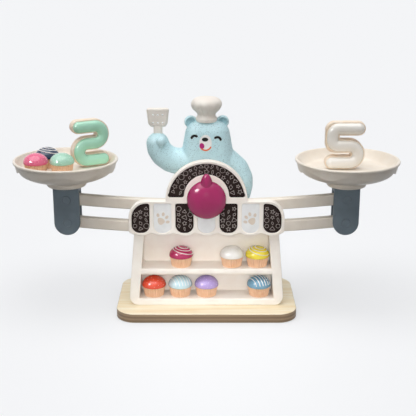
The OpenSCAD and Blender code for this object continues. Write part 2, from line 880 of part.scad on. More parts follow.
module chef_hat()
    color("#f4efe4")
        translate([0, bear_y, hat_z + seat_gap]) {
            rotate_extrude()
                polygon(concat([
                    [0, 0], [10.6, 0], [11.2, 0.8], [11.2, 4.6], [10.4, 5.6], [9.8, 6.6],
                    [9.9, 8], [hat_r - 4.4, 10.6], [hat_r - 1.5, 13.8],
                ], [for (p = quarter(hat_r, 7.4, 10)) [p[0], p[1] + 18.5]]));
            translate([0, 0, -5.6])
                cylinder(r = 3, h = 8);
        }

module spatula()
    color("#efe3d0")
        translate([-51, bear_y - 1, bear_z]) {
            difference() {
                along_y(-2.6, 2.6)
                    polygon(rounded([
                        [-4.4, 181], [4.4, 181], [8.6, 186.6], [11.8, 206.2], [-11.8, 206.2],
                        [-8.6, 186.6],
                    ], [0, 0, 4, 2, 2, 4]));
                for (s = [-1, 0, 1], z = [190.1, 198.5])
                    rod_y(s * 5, z, 1.2, -4, 4);
            }
            translate([0, 0, 165.4])
                cylinder(r = 3.5, h = 17);
        }

// Radius of the middle line in the five's two left corners, just over the stroke's half width.
corner_c = stroke_w / 2 + 0.4;

// Middle line of the numerals' stroke, measured from the lower left corner of the numeral.
function numeral_path(five, c = corner_c) =
    let (
        h = stroke_w / 2,
        top = numeral_h - h,
        mid = numeral_h * 0.498,
        right = numeral_w - h,
        low = (mid - h) / 2,
        up = (top - mid) / 2,
        path = concat(
            five ? [[right, top]] : [[right, top]],
            five
                ? concat(arc([h + c, top - c], c, 90, 180, 8), arc([h + c, mid + c], c, 180, 270, 8))
                : arc([h + up, mid + up], up, 90, 270, 16),
            arc([right - low, h + low], low, 90, -90, 16),
            [[h, h]]
        )
    )
    [for (p = path) five ? p : [numeral_w - p[0], p[1]]];

// Directions across the stroke at each point of a path.
function across(path) = [
    for (i = [0:len(path) - 1])
        let (t = unit(path[min(i + 1, len(path) - 1)] - path[max(i - 1, 0)]))
        [-t[1], t[0]]
];

// Outline of a stroke of half width w with round ends. Its right-hand edge can follow a path of its own,
// with as many points, so that a bend turns tighter outside than inside.
function ribbon(path, w, right_path = []) =
    let (
        m = len(path) - 1,
        nrm = across(path),
        far = len(right_path) > 0 ? right_path : path,
        out = across(far),
        a = atan2(nrm[m][1], nrm[m][0]),
        b = atan2(-nrm[0][1], -nrm[0][0])
    )
    concat(
        [for (i = [0:m - 1]) path[i] + w * nrm[i]],
        arc(path[m], w, a, a - 180, 10),
        [for (i = [m - 1:-1:1]) far[i] - w * out[i]],
        arc(path[0], w, b, b - 180, 10)
    );

// Half-round bead of icing laid along a path, standing out towards the viewer.
module bead(path, w, h) {
    m = len(path) - 1;
    n = 10;
    nrm = across(path);
    t0 = unit(path[0] - path[1]);
    t1 = unit(path[m] - path[m - 1]);
    rows = concat(
        [for (k = [3:-1:1]) [path[0] + t0 * w * sin(24 * k), nrm[0], cos(24 * k)]],
        [for (i = [0:m]) [path[i], nrm[i], 1]],
        [for (k = [1:3]) [path[m] + t1 * w * sin(24 * k), nrm[m], cos(24 * k)]]
    );
    pts = [
        for (row = rows, k = [0:n])
            let (p = row[0] + row[1] * w * row[2] * cos(180 * k / n))
            [p[0], -h * row[2] * sin(180 * k / n), p[1]]
    ];
    last = (len(rows) - 1) * (n + 1);
    faces = concat(
        [for (i = [0:len(rows) - 2], k = [0:n])
            let (a = i * (n + 1) + k, b = i * (n + 1) + (k + 1) % (n + 1))
            [a, b, b + n + 1, a + n + 1]],
        [[for (k = [n:-1:0]) k], [for (k = [0:n]) last + k]]
    );
    polyhedron(pts, faces, convexity = 6);
}

// Places a numeral's pieces with their foot on a pan's floor.
module on_left_pan()
    translate([-arm_len + 24 * set_k, beam_y + 12.5 * set_k, floor_z + seat_gap])
        rotate([0, 0, 28])
            translate([-numeral_w / 2, 0, 0])
                children();

module on_right_pan()
    translate([arm_len - 3.5, beam_y, floor_z + seat_gap])
        translate([-numeral_w / 2, 0, 0])
            children();

module biscuit(five)
    difference() {
        along_y(-biscuit_t / 2, biscuit_t / 2)
            polygon(ribbon(numeral_path(five), stroke_w / 2, numeral_path(five, 2.2)));
        along_y(-biscuit_t / 2 - 1, biscuit_t / 2 - 2.2)
            polygon(ribbon(numeral_path(five), stroke_w / 2 - 3));
    }

module icing_bead(five)
    translate([0, -biscuit_t / 2 - 0.02, 0])
        bead(numeral_path(five, corner_c - 1.4), stroke_w / 2 - 1.4, 4.8);

module two_biscuit()
    color("#efe3cd")
        on_left_pan()
            biscuit(false);

module two_icing()
    color("#9ccfae")
        on_left_pan()
            icing_bead(false);

module five_biscuit()
    color("#efe3cd")
        on_right_pan()
            biscuit(true);

module five_icing()
    color("#f5f1e8")
        on_right_pan()
            icing_bead(true);

module five_slug()
    color("#8c8c8c")
        on_right_pan()
            along_y(biscuit_t / 2 - 2.3 - five_slug_t, biscuit_t / 2 - 2.3)
                polygon(ribbon(numeral_path(true), stroke_w / 2 - 3.1));

module cup()
    color("#e2b38e")
        difference() {
            linear_extrude(height = cup_h, scale = (dome_r - 0.7) / cup_r)
                polygon([
                    for (k = [0:2 * pleat_count - 1])
                        (cup_r - 0.6 * (k % 2)) * [cos(180 * k / pleat_count), sin(180 * k / pleat_count)]
                ]);
            translate([0, 0, 2.4])
                cylinder(r = cup_r - 2.2, h = cup_h);
        }

module icing(tint)
    color(tint)
        rotate_extrude()
            polygon(concat(
                [[0, cup_h - 3], [cup_r - 2.4, cup_h - 3], [cup_r - 2.4, cup_h + seat_gap],
                    [dome_r - 1, cup_h + seat_gap], [dome_r - 0.3, cup_h + 0.5]],
                [for (p = quarter(dome_r, dome_h - 1.2, 10)) [p[0], p[1] + cup_h + 1.2]]
            ));

base_board();
base_screws();
stand_front();
stand_rear();
shell_screws();
awning();
awning_screws();
arch_panel();
dark_panels();
white_panels();
upper_beam();
lower_beam();
upper_axle();
lower_axle();
hub_washers();
pointer_knob();
post_front(-arm_len);  // left_post_front
post_rear(-arm_len);  // left_post_rear
post_pins(-arm_len);  // left_post_pins
post_screws(-arm_len);  // left_post_screws
pan_dish(-arm_len);  // left_pan_dish
pan_bowl(-arm_len);  // left_pan_bowl
post_front(arm_len);  // right_post_front
post_rear(arm_len);  // right_post_rear
post_pins(arm_len);  // right_post_pins
post_screws(arm_len);  // right_post_screws
pan_dish(arm_len);  // right_pan_dish
pan_bowl(arm_len);  // right_pan_bowl
bear_front();
bear_rear();
chef_hat();
spatula();
bear_screws();
two_biscuit();
two_icing();
five_biscuit();
five_icing();
five_slug();
for (c = CUPCAKES) {
    translate(c[1]) cup();
    translate(c[1]) icing(c[2]);
}
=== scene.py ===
"""Looks of a wooden balance scale toy: a small bakery stall with a parallel-beam balance and its weights.

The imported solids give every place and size. The classes below soften their edges or build fuller pieces in
their stead, and give each piece a procedural finish. Lengths in the classes are millimetres.
"""

from __future__ import annotations

import logging
import math
from dataclasses import dataclass
from enum import Enum
from typing import Any, Callable, Iterable, Sequence

import bmesh
import bpy
from mathutils import Matrix, Vector
from mathutils.bvhtree import BVHTree

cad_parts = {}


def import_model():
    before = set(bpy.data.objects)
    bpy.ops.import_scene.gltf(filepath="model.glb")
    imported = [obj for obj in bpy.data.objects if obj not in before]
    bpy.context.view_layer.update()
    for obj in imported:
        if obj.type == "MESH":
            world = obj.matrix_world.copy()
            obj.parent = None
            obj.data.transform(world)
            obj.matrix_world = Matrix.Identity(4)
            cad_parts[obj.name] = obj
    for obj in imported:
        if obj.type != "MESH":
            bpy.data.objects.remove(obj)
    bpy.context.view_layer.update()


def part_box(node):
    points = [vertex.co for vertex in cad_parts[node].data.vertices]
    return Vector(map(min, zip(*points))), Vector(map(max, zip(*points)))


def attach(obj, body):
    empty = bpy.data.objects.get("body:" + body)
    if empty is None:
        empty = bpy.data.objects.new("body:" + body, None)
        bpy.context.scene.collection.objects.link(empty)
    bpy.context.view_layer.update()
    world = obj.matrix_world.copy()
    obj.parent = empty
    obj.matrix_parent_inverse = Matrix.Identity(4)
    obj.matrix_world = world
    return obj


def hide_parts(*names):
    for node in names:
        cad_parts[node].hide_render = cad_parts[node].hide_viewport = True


LOG = logging.getLogger("balance_scale")
MM = 0.001
MERGE = 0.002
FLAT_DEGREES = 0.4
Point = tuple[float, float]
Ball = tuple[float, float, float, float]


def at(x: float, y: float, z: float) -> Matrix:
    """Give the matrix that moves something to a point."""
    return Matrix.Translation((x, y, z))


def turned(degrees: float, axis: str) -> Matrix:
    """Give the matrix that turns something about an axis through the origin."""
    return Matrix.Rotation(math.radians(degrees), 4, axis)


def quarter(steps: int) -> list[float]:
    """List the angles of a quarter turn, in radians."""
    return [math.pi / 2 * k / steps for k in range(steps + 1)]


def linear(hex_colour: str) -> tuple[float, float, float, float]:
    """Turn an sRGB hex value into a linear colour.

    Args:
        hex_colour: Six hex digits after a hash sign.

    Returns:
        Red, green, blue and an alpha of one.
    """
    parts = [int(hex_colour[k:k + 2], 16) / 255.0 for k in (1, 3, 5)]
    red, green, blue = [c / 12.92 if c <= 0.04045 else ((c + 0.055) / 1.055) ** 2.4 for c in parts]
    return red, green, blue, 1.0


def paler(hex_colour: str, share: float = 0.42) -> str:
    """Mix a colour with white.

    Args:
        hex_colour: The colour as sRGB hex.
        share: How much of the mix is white.

    Returns:
        The mix as sRGB hex.
    """
    parts = [int(hex_colour[k:k + 2], 16) for k in (1, 3, 5)]
    return "#" + "".join(f"{round(c + share * (255 - c)):02x}" for c in parts)


def set_up(tree: bpy.types.NodeTree, node: bpy.types.Node, settings: dict[Any, Any],
           links: dict[Any, bpy.types.NodeSocket]) -> None:
    """Give a node its settings and links.

    Args:
        tree: The tree that the node is in.
        node: The node.
        settings: Values by property name, input name or input number.
        links: Output sockets by the input name or number that they feed.
    """
    for key, value in settings.items():
        if isinstance(key, str) and hasattr(node, key):
            setattr(node, key, value)
        else:
            node.inputs[key].default_value = value
    for key, source in links.items():
        tree.links.new(source, node.inputs[key])


def add_node(tree: bpy.types.NodeTree, kind: str, settings: dict[Any, Any] | None = None,
             links: dict[Any, bpy.types.NodeSocket] | None = None) -> bpy.types.Node:
    """Add a node with its settings and links.

    Args:
        tree: The tree that takes the node.
        kind: Blender's name of the node type.
        settings: Values by property name, input name or input number.
        links: Output sockets by the input name or number that they feed.

    Returns:
        The new node.
    """
    node = tree.nodes.new(kind)
    set_up(tree, node, settings or {}, links or {})
    return node


def seen_rays(tree: bpy.types.NodeTree) -> bpy.types.NodeSocket:
    """Tell rays that show the background from rays that light the toy.

    Args:
        tree: The tree that takes the nodes.

    Returns:
        One for camera, glossy and transmission rays, else nought.
    """
    path = add_node(tree, "ShaderNodeLightPath")
    through = add_node(tree, "ShaderNodeMath", {"operation": "MAXIMUM"},
                       {0: path.outputs["Is Camera Ray"], 1: path.outputs["Is Transmission Ray"]})
    seen = add_node(tree, "ShaderNodeMath", {"operation": "MAXIMUM"},
                    {0: through.outputs["Value"], 1: path.outputs["Is Glossy Ray"]})
    return seen.outputs["Value"]


@dataclass(frozen=True)
class Finish:
    """What every finish has: the name of the real material, two tones and how rough it is."""

    name: str
    colour: str
    shade: str
    roughness: float

    def material(self) -> bpy.types.Material:
        """Make the material, or find it if it has been made.

        Returns:
            The material with its nodes.
        """
        made = bpy.data.materials.get(self.name)
        if made is None:
            made = bpy.data.materials.new(self.name)
            made.use_nodes = True
            tree = made.node_tree
            tree.nodes.clear()
            shader = add_node(tree, "ShaderNodeBsdfPrincipled", {"Roughness": self.roughness})
            add_node(tree, "ShaderNodeOutputMaterial", links={"Surface": shader.outputs["BSDF"]})
            place = add_node(tree, "ShaderNodeTexCoord").outputs["Object"]
            self.dress(tree, shader, place)
        return made

    def dress(self, tree: bpy.types.NodeTree, shader: bpy.types.Node,
              place: bpy.types.NodeSocket) -> None:
        """Add the finish's own nodes; each kind of finish has its own.

        Args:
            tree: The material's node tree.
            shader: The principled shader.
            place: Object coordinates.
        """
        raise NotImplementedError


@dataclass(frozen=True)
class MouldedPlastic(Finish):
    """A moulded plastic: slow clouds in its tone, a fine grain from the tool, satin or gloss."""

    spread: float = 0.06
    cloud_mm: float = 14.0
    cloud_edges: Point = (0.3, 0.7)
    grain_mm: float = 1.3
    grain_depth_mm: float = 0.02
    grain_strength: float = 0.35
    specular: float = 0.5
    coat: float = 0.0
    coat_roughness: float = 0.08

    def dress(self, tree: bpy.types.NodeTree, shader: bpy.types.Node,
              place: bpy.types.NodeSocket) -> None:
        """Give tone, gloss and grain.

        Args:
            tree: The material's node tree.
            shader: The principled shader.
            place: Object coordinates.
        """
        faint, full = self.cloud_edges
        cloud = add_node(tree, "ShaderNodeTexNoise", {"Scale": 1 / (self.cloud_mm * MM), "Detail": 4.0},
                         {"Vector": place})
        clear = add_node(tree, "ShaderNodeMapRange", {"From Min": faint, "From Max": full},
                         {"Value": cloud.outputs["Fac"]})
        tone = add_node(tree, "ShaderNodeMix",
                        {"data_type": "RGBA", 6: linear(self.colour), 7: linear(self.shade)},
                        {0: clear.outputs["Result"]})
        gloss = add_node(tree, "ShaderNodeMapRange",
                         {"To Min": self.roughness - self.spread, "To Max": self.roughness + self.spread},
                         {"Value": clear.outputs["Result"]})
        # Real tool grain is near 0.2 mm; it is drawn coarser so that it shows in the render.
        grain = add_node(tree, "ShaderNodeTexNoise", {"Scale": 1 / (self.grain_mm * MM), "Detail": 2.0},
                         {"Vector": place})
        relief = add_node(tree, "ShaderNodeBump",
                          {"Strength": self.grain_strength, "Distance": self.grain_depth_mm * MM},
                          {"Height": grain.outputs["Fac"]})
        set_up(tree, shader, {"Specular IOR Level": self.specular, "Coat Weight": self.coat,
                              "Coat Roughness": self.coat_roughness},
               {"Base Color": tone.outputs[2], "Roughness": gloss.outputs["Result"],
                "Normal": relief.outputs["Normal"]})


@dataclass(frozen=True)
class SpeckledPlastic(Finish):
    """A plastic with darker fibre specks moulded in, each about a millimetre across."""

    speck: str = "#7fa3aa"
    speck_mm: float = 1.4
    speck_edges: Point = (0.24, 0.44)
    picked: Point = (0.2, 0.9)
    strongest: float = 0.8
    cloud_mm: float = 18.0
    relief_mm: float = 0.02

    def dress(self, tree: bpy.types.NodeTree, shader: bpy.types.Node,
              place: bpy.types.NodeSocket) -> None:
        """Scatter specks of uneven strength over a clouded ground.

        Args:
            tree: The material's node tree.
            shader: The principled shader.
            place: Object coordinates.
        """
        cloud = add_node(tree, "ShaderNodeTexNoise", {"Scale": 1 / (self.cloud_mm * MM), "Detail": 3.0},
                         {"Vector": place})
        ground = add_node(tree, "ShaderNodeMix",
                          {"data_type": "RGBA", 6: linear(self.colour), 7: linear(self.shade)},
                          {0: cloud.outputs["Fac"]})
        # The cells are wider than the specks, which fill only the middle of each cell.
        cells = add_node(tree, "ShaderNodeTexVoronoi", {"Scale": 1 / (self.speck_mm * MM)},
                         {"Vector": place})
        core = add_node(tree, "ShaderNodeMapRange",
                        {"From Min": self.speck_edges[0], "From Max": self.speck_edges[1],
                         "To Min": 1.0, "To Max": 0.0},
                        {"Value": cells.outputs["Distance"]})
        pick = add_node(tree, "ShaderNodeMapRange",
                        {"From Min": self.picked[0], "From Max": self.picked[1],
                         "To Min": 0.0, "To Max": self.strongest},
                        {"Value": cells.outputs["Color"]})
        mask = add_node(tree, "ShaderNodeMath", {"operation": "MULTIPLY"},
                        {0: core.outputs["Result"], 1: pick.outputs["Result"]})
        tone = add_node(tree, "ShaderNodeMix", {"data_type": "RGBA", 7: linear(self.speck)},
                        {0: mask.outputs["Value"], 6: ground.outputs[2]})
        gloss = add_node(tree, "ShaderNodeMapRange",
                         {"To Min": self.roughness - 0.05, "To Max": self.roughness + 0.08},
                         {"Value": cloud.outputs["Fac"]})
        relief = add_node(tree, "ShaderNodeBump", {"Strength": 0.3, "Distance": self.relief_mm * MM},
                          {"Height": cells.outputs["Distance"]})
        set_up(tree, shader, {}, {"Base Color": tone.outputs[2], "Roughness": gloss.outputs["Result"],
                                  "Normal": relief.outputs["Normal"]})


@dataclass(frozen=True)
class PinePlywood(Finish):
    """Lacquered pine plywood: long grain on the faces, thin plies along the edges, darkened in part by
    painted shade.
    """

    fibre: str = "#cfa66c"
    ply_pale_shaded: str = "#a68e71"
    ply_dark_shaded: str = "#8a735a"
    ring_mm: float = 7.0
    ring_stretch: float = 0.07
    fibre_mm: float = 1.5
    fibre_stretch: float = 0.04
    fibre_depth_mm: float = 0.05
    ply_mm: float = 2.0

    def dress(self, tree: bpy.types.NodeTree, shader: bpy.types.Node,
              place: bpy.types.NodeSocket) -> None:
        """Lay the grain along X and the plies over the height, and darken upright faces with painted shade.

        Args:
            tree: The material's node tree.
            shader: The principled shader.
            place: Object coordinates.
        """
        ring, thread, ply_high = self.ring_mm * MM, self.fibre_mm * MM, self.ply_mm * MM
        wide = add_node(tree, "ShaderNodeMapping",
                        {"Scale": (self.ring_stretch / ring, 1 / ring, 1 / ring)}, {"Vector": place})
        rings = add_node(tree, "ShaderNodeTexNoise", {"Scale": 1.0, "Detail": 3.0, "Distortion": 0.7},
                         {"Vector": wide.outputs["Vector"]})
        fine = add_node(tree, "ShaderNodeMapping",
                        {"Scale": (self.fibre_stretch / thread, 1 / thread, 1 / thread)}, {"Vector": place})
        fibres = add_node(tree, "ShaderNodeTexNoise", {"Scale": 1.0, "Detail": 3.0},
                          {"Vector": fine.outputs["Vector"]})
        early = add_node(tree, "ShaderNodeMapRange", {"From Min": 0.36, "From Max": 0.66},
                         {"Value": rings.outputs["Fac"]})
        face = add_node(tree, "ShaderNodeMix",
                        {"data_type": "RGBA", 6: linear(self.colour), 7: linear(self.shade)},
                        {0: early.outputs["Result"]})
        thin = add_node(tree, "ShaderNodeMapRange",
                        {"From Min": 0.55, "From Max": 0.8, "To Min": 0.0, "To Max": 0.3},
                        {"Value": fibres.outputs["Fac"]})
        top = add_node(tree, "ShaderNodeMix", {"data_type": "RGBA", 7: linear(self.fibre)},
                       {0: thin.outputs["Result"], 6: face.outputs[2]})
        axes = add_node(tree, "ShaderNodeSeparateXYZ", links={"Vector": place})
        ply = add_node(tree, "ShaderNodeMath", {"operation": "PINGPONG", 1: ply_high},
                       {0: axes.outputs["Z"]})
        band = add_node(tree, "ShaderNodeMapRange",
                        {"From Min": 0.35 * ply_high, "From Max": 0.65 * ply_high},
                        {"Value": ply.outputs["Value"]})
        edge = add_node(tree, "ShaderNodeMix",
                        {"data_type": "RGBA", 6: linear(self.ply_pale_shaded), 7: linear(self.ply_dark_shaded)},
                        {0: band.outputs["Result"]})
        # Level faces show the grain, upright ones the plies; the plies' dark tones are partly painted shade
        # on the upright faces.
        turn = add_node(tree, "ShaderNodeNewGeometry")
        lean = add_node(tree, "ShaderNodeSeparateXYZ", links={"Vector": turn.outputs["Normal"]})
        level = add_node(tree, "ShaderNodeMath", {"operation": "ABSOLUTE"}, {0: lean.outputs["Z"]})
        flat = add_node(tree, "ShaderNodeMapRange", {"From Min": 0.35, "From Max": 0.75},
                        {"Value": level.outputs["Value"]})
        tone = add_node(tree, "ShaderNodeMix", {"data_type": "RGBA"},
                        {0: flat.outputs["Result"], 6: edge.outputs[2], 7: top.outputs[2]})
        gloss = add_node(tree, "ShaderNodeMapRange",
                         {"To Min": self.roughness - 0.06, "To Max": self.roughness + 0.12},
                         {"Value": fibres.outputs["Fac"]})
        relief = add_node(tree, "ShaderNodeBump", {"Strength": 0.4, "Distance": self.fibre_depth_mm * MM},
                          {"Height": fibres.outputs["Fac"]})
        set_up(tree, shader, {}, {"Base Color": tone.outputs[2], "Roughness": gloss.outputs["Result"],
                                  "Normal": relief.outputs["Normal"]})


@dataclass(frozen=True)
class TurnedSteel(Finish):
    """Zinc-plated steel from a lathe: fine, uneven shine."""

    groove_mm: float = 0.5
    spread: float = 0.1

    def dress(self, tree: bpy.types.NodeTree, shader: bpy.types.Node,
              place: bpy.types.NodeSocket) -> None:
        """Give the metal uneven tone and shine.

        Args:
            tree: The material's node tree.
            shader: The principled shader.
            place: Object coordinates.
        """
        noise = add_node(tree, "ShaderNodeTexNoise", {"Scale": 1 / (self.groove_mm * MM), "Detail": 3.0},
                         {"Vector": place})
        tone = add_node(tree, "ShaderNodeMix",
                        {"data_type": "RGBA", 6: linear(self.colour), 7: linear(self.shade)},
                        {0: noise.outputs["Fac"]})
        gloss = add_node(tree, "ShaderNodeMapRange",
                         {"To Min": self.roughness - self.spread, "To Max": self.roughness + self.spread},
                         {"Value": noise.outputs["Fac"]})
        set_up(tree, shader, {"Metallic": 1.0},
               {"Base Color": tone.outputs[2], "Roughness": gloss.outputs["Result"]})


@dataclass(frozen=True)
class SeamlessPaper(Finish):
    """Backdrop paper: evenly pale where it is seen; its shade is in the light that it throws back."""

    even: float = 0.55

    def dress(self, tree: bpy.types.NodeTree, shader: bpy.types.Node,
              place: bpy.types.NodeSocket) -> None:
        """Give the paper its two tones, and an even part that the shadow doesn't dim.

        Args:
            tree: The material's node tree.
            shader: The principled shader.
            place: Object coordinates, which plain paper has no use for.
        """
        seen = seen_rays(tree)
        lit = [(1.0 - self.even) * channel for channel in linear(self.colour)[:3]]
        tone = add_node(tree, "ShaderNodeMix",
                        {"data_type": "RGBA", 6: linear(self.shade), 7: (*lit, 1.0)}, {0: seen})
        level = add_node(tree, "ShaderNodeMath", {"operation": "MULTIPLY", 1: self.even}, {0: seen})
        set_up(tree, shader, {"Specular IOR Level": 0.0, "Emission Color": linear(self.colour)},
               {"Base Color": tone.outputs[2], "Emission Strength": level.outputs["Value"]})


# Clear-lacquered pine: the eye meets pale yellow faces with long streaks and darker, layered edges, whose
# darkness is partly painted shade.
PINE = PinePlywood("pine plywood, lacquered", "#fbf0d6", "#f2ddb2", 0.42)
# ABS in warm white, moulded satin: soft broad highlights and a faint tool grain.
CREAM = MouldedPlastic("ABS, warm white satin", "#f8f2e9", "#f3eae0", 0.45)
# The same ABS from a smoother tool, for the pans: a little more shine.
PAN_CREAM = MouldedPlastic("ABS, warm white smooth", "#f3ebdf", "#ede2d3", 0.36)
# The same ABS from a coarser tool, for the beams: duller, and a shade greyer as painted shade.
SHADED_BEAM_CREAM = MouldedPlastic("ABS, warm white dull, painted shade", "#e9e0d4", "#e2d8ca", 0.52)
# ABS in blue grey, fine spark-eroded satin: dull, with a cool sheen.
SLATE = MouldedPlastic("ABS, blue grey satin", "#6f7d86", "#66737c", 0.5, grain_depth_mm=0.04)
# Polished ABS in magenta: deep colour under a clear, sharp highlight.
MAGENTA = MouldedPlastic("ABS, magenta gloss", "#a3105a", "#960e52", 0.2, spread=0.03, coat=0.25,
                         specular=0.4)
# Speckled polypropylene in pale blue: small dark specks in a milky ground.
BEAR_BLUE = SpeckledPlastic("polypropylene, speckled pale blue", "#cdebf1", "#bfe1e8", 0.5)
# The concave fronts of the ears: the same plastic a shade deeper, as painted shade in the hollows.
SHADED_EAR_BLUE = SpeckledPlastic("polypropylene, speckled blue, painted shade", "#aed2d9", "#a2c7cf", 0.52)
# Polystyrene sheet with a matt dark film: nearly black brown, hardly any shine.
DARK_SHEET = MouldedPlastic("polystyrene sheet, dark matt film", "#2a201d", "#221816", 0.6, cloud_mm=6.0,
                            specular=0.1)
# Polystyrene sheet with a white film: cooler than the moulded frame.
WHITE_SHEET = MouldedPlastic("polystyrene sheet, white film", "#ececeb", "#e4e4e3", 0.42, cloud_mm=8.0)
# Screen-printed and pad-printed inks: thin, slightly uneven colour.
LINE_INK = MouldedPlastic("screen ink, warm grey", "#a89e99", "#8b817d", 0.6, cloud_mm=2.0)
PAW_INK = MouldedPlastic("screen ink, beige", "#dfd2c3", "#d7c8b7", 0.55, cloud_mm=3.0)
BLACK_INK = MouldedPlastic("pad-print ink, black gloss", "#141212", "#1c1919", 0.3, cloud_mm=2.0,
                           specular=0.25)
WHITE_INK = MouldedPlastic("pad-print ink, white", "#f6f5f3", "#eeecea", 0.4, cloud_mm=3.0)
ORANGE_INK = MouldedPlastic("pad-print ink, orange", "#ef7240", "#e6652f", 0.4, cloud_mm=2.0)
TONGUE_INK = MouldedPlastic("pad-print ink, magenta", "#c0187a", "#a91069", 0.4, cloud_mm=2.0)
# Biscuit-coloured ABS, dull with a baked, uneven tone.
BISCUIT = MouldedPlastic("ABS, biscuit satin", "#fceedd", "#f8e0c4", 0.5, cloud_mm=5.0)
# Glossy ABS that stands for poured icing: smooth with wet highlights.
GREEN_ICING = MouldedPlastic("ABS, green gloss", "#b6eed3", "#abe4c8", 0.24, spread=0.03, coat=0.4)
CREAM_ICING = MouldedPlastic("ABS, cream gloss", "#fcf9f3", "#f7f2e9", 0.24, spread=0.03, coat=0.4)
# Peach ABS of the pleated cups: satin, a little darker in places like baked paper.
CUP_PAPER = MouldedPlastic("ABS, peach satin", "#f4cdac", "#ecbe98", 0.5, cloud_mm=4.0)
# White piped lines, softer than the icing below them.
PIPED = MouldedPlastic("ABS, white piped line", "#f8f5f2", "#efebe8", 0.32, cloud_mm=3.0)
# Zinc-plated screws, pins and axles: small bright glints.
STEEL = TurnedSteel("steel, zinc plated", "#b9b9ba", "#9a9a9c", 0.34)
# Natural nylon washers: milky and dull.
NYLON = MouldedPlastic("nylon, natural", "#e2dfd8", "#d8d4cb", 0.55, cloud_mm=3.0)
# Seamless backdrop paper: pale and even behind the toy, and grey enough not to light it from below.
PAPER = SeamlessPaper("paper, pale seamless", "#f4f5f7", "#707173", 0.9)


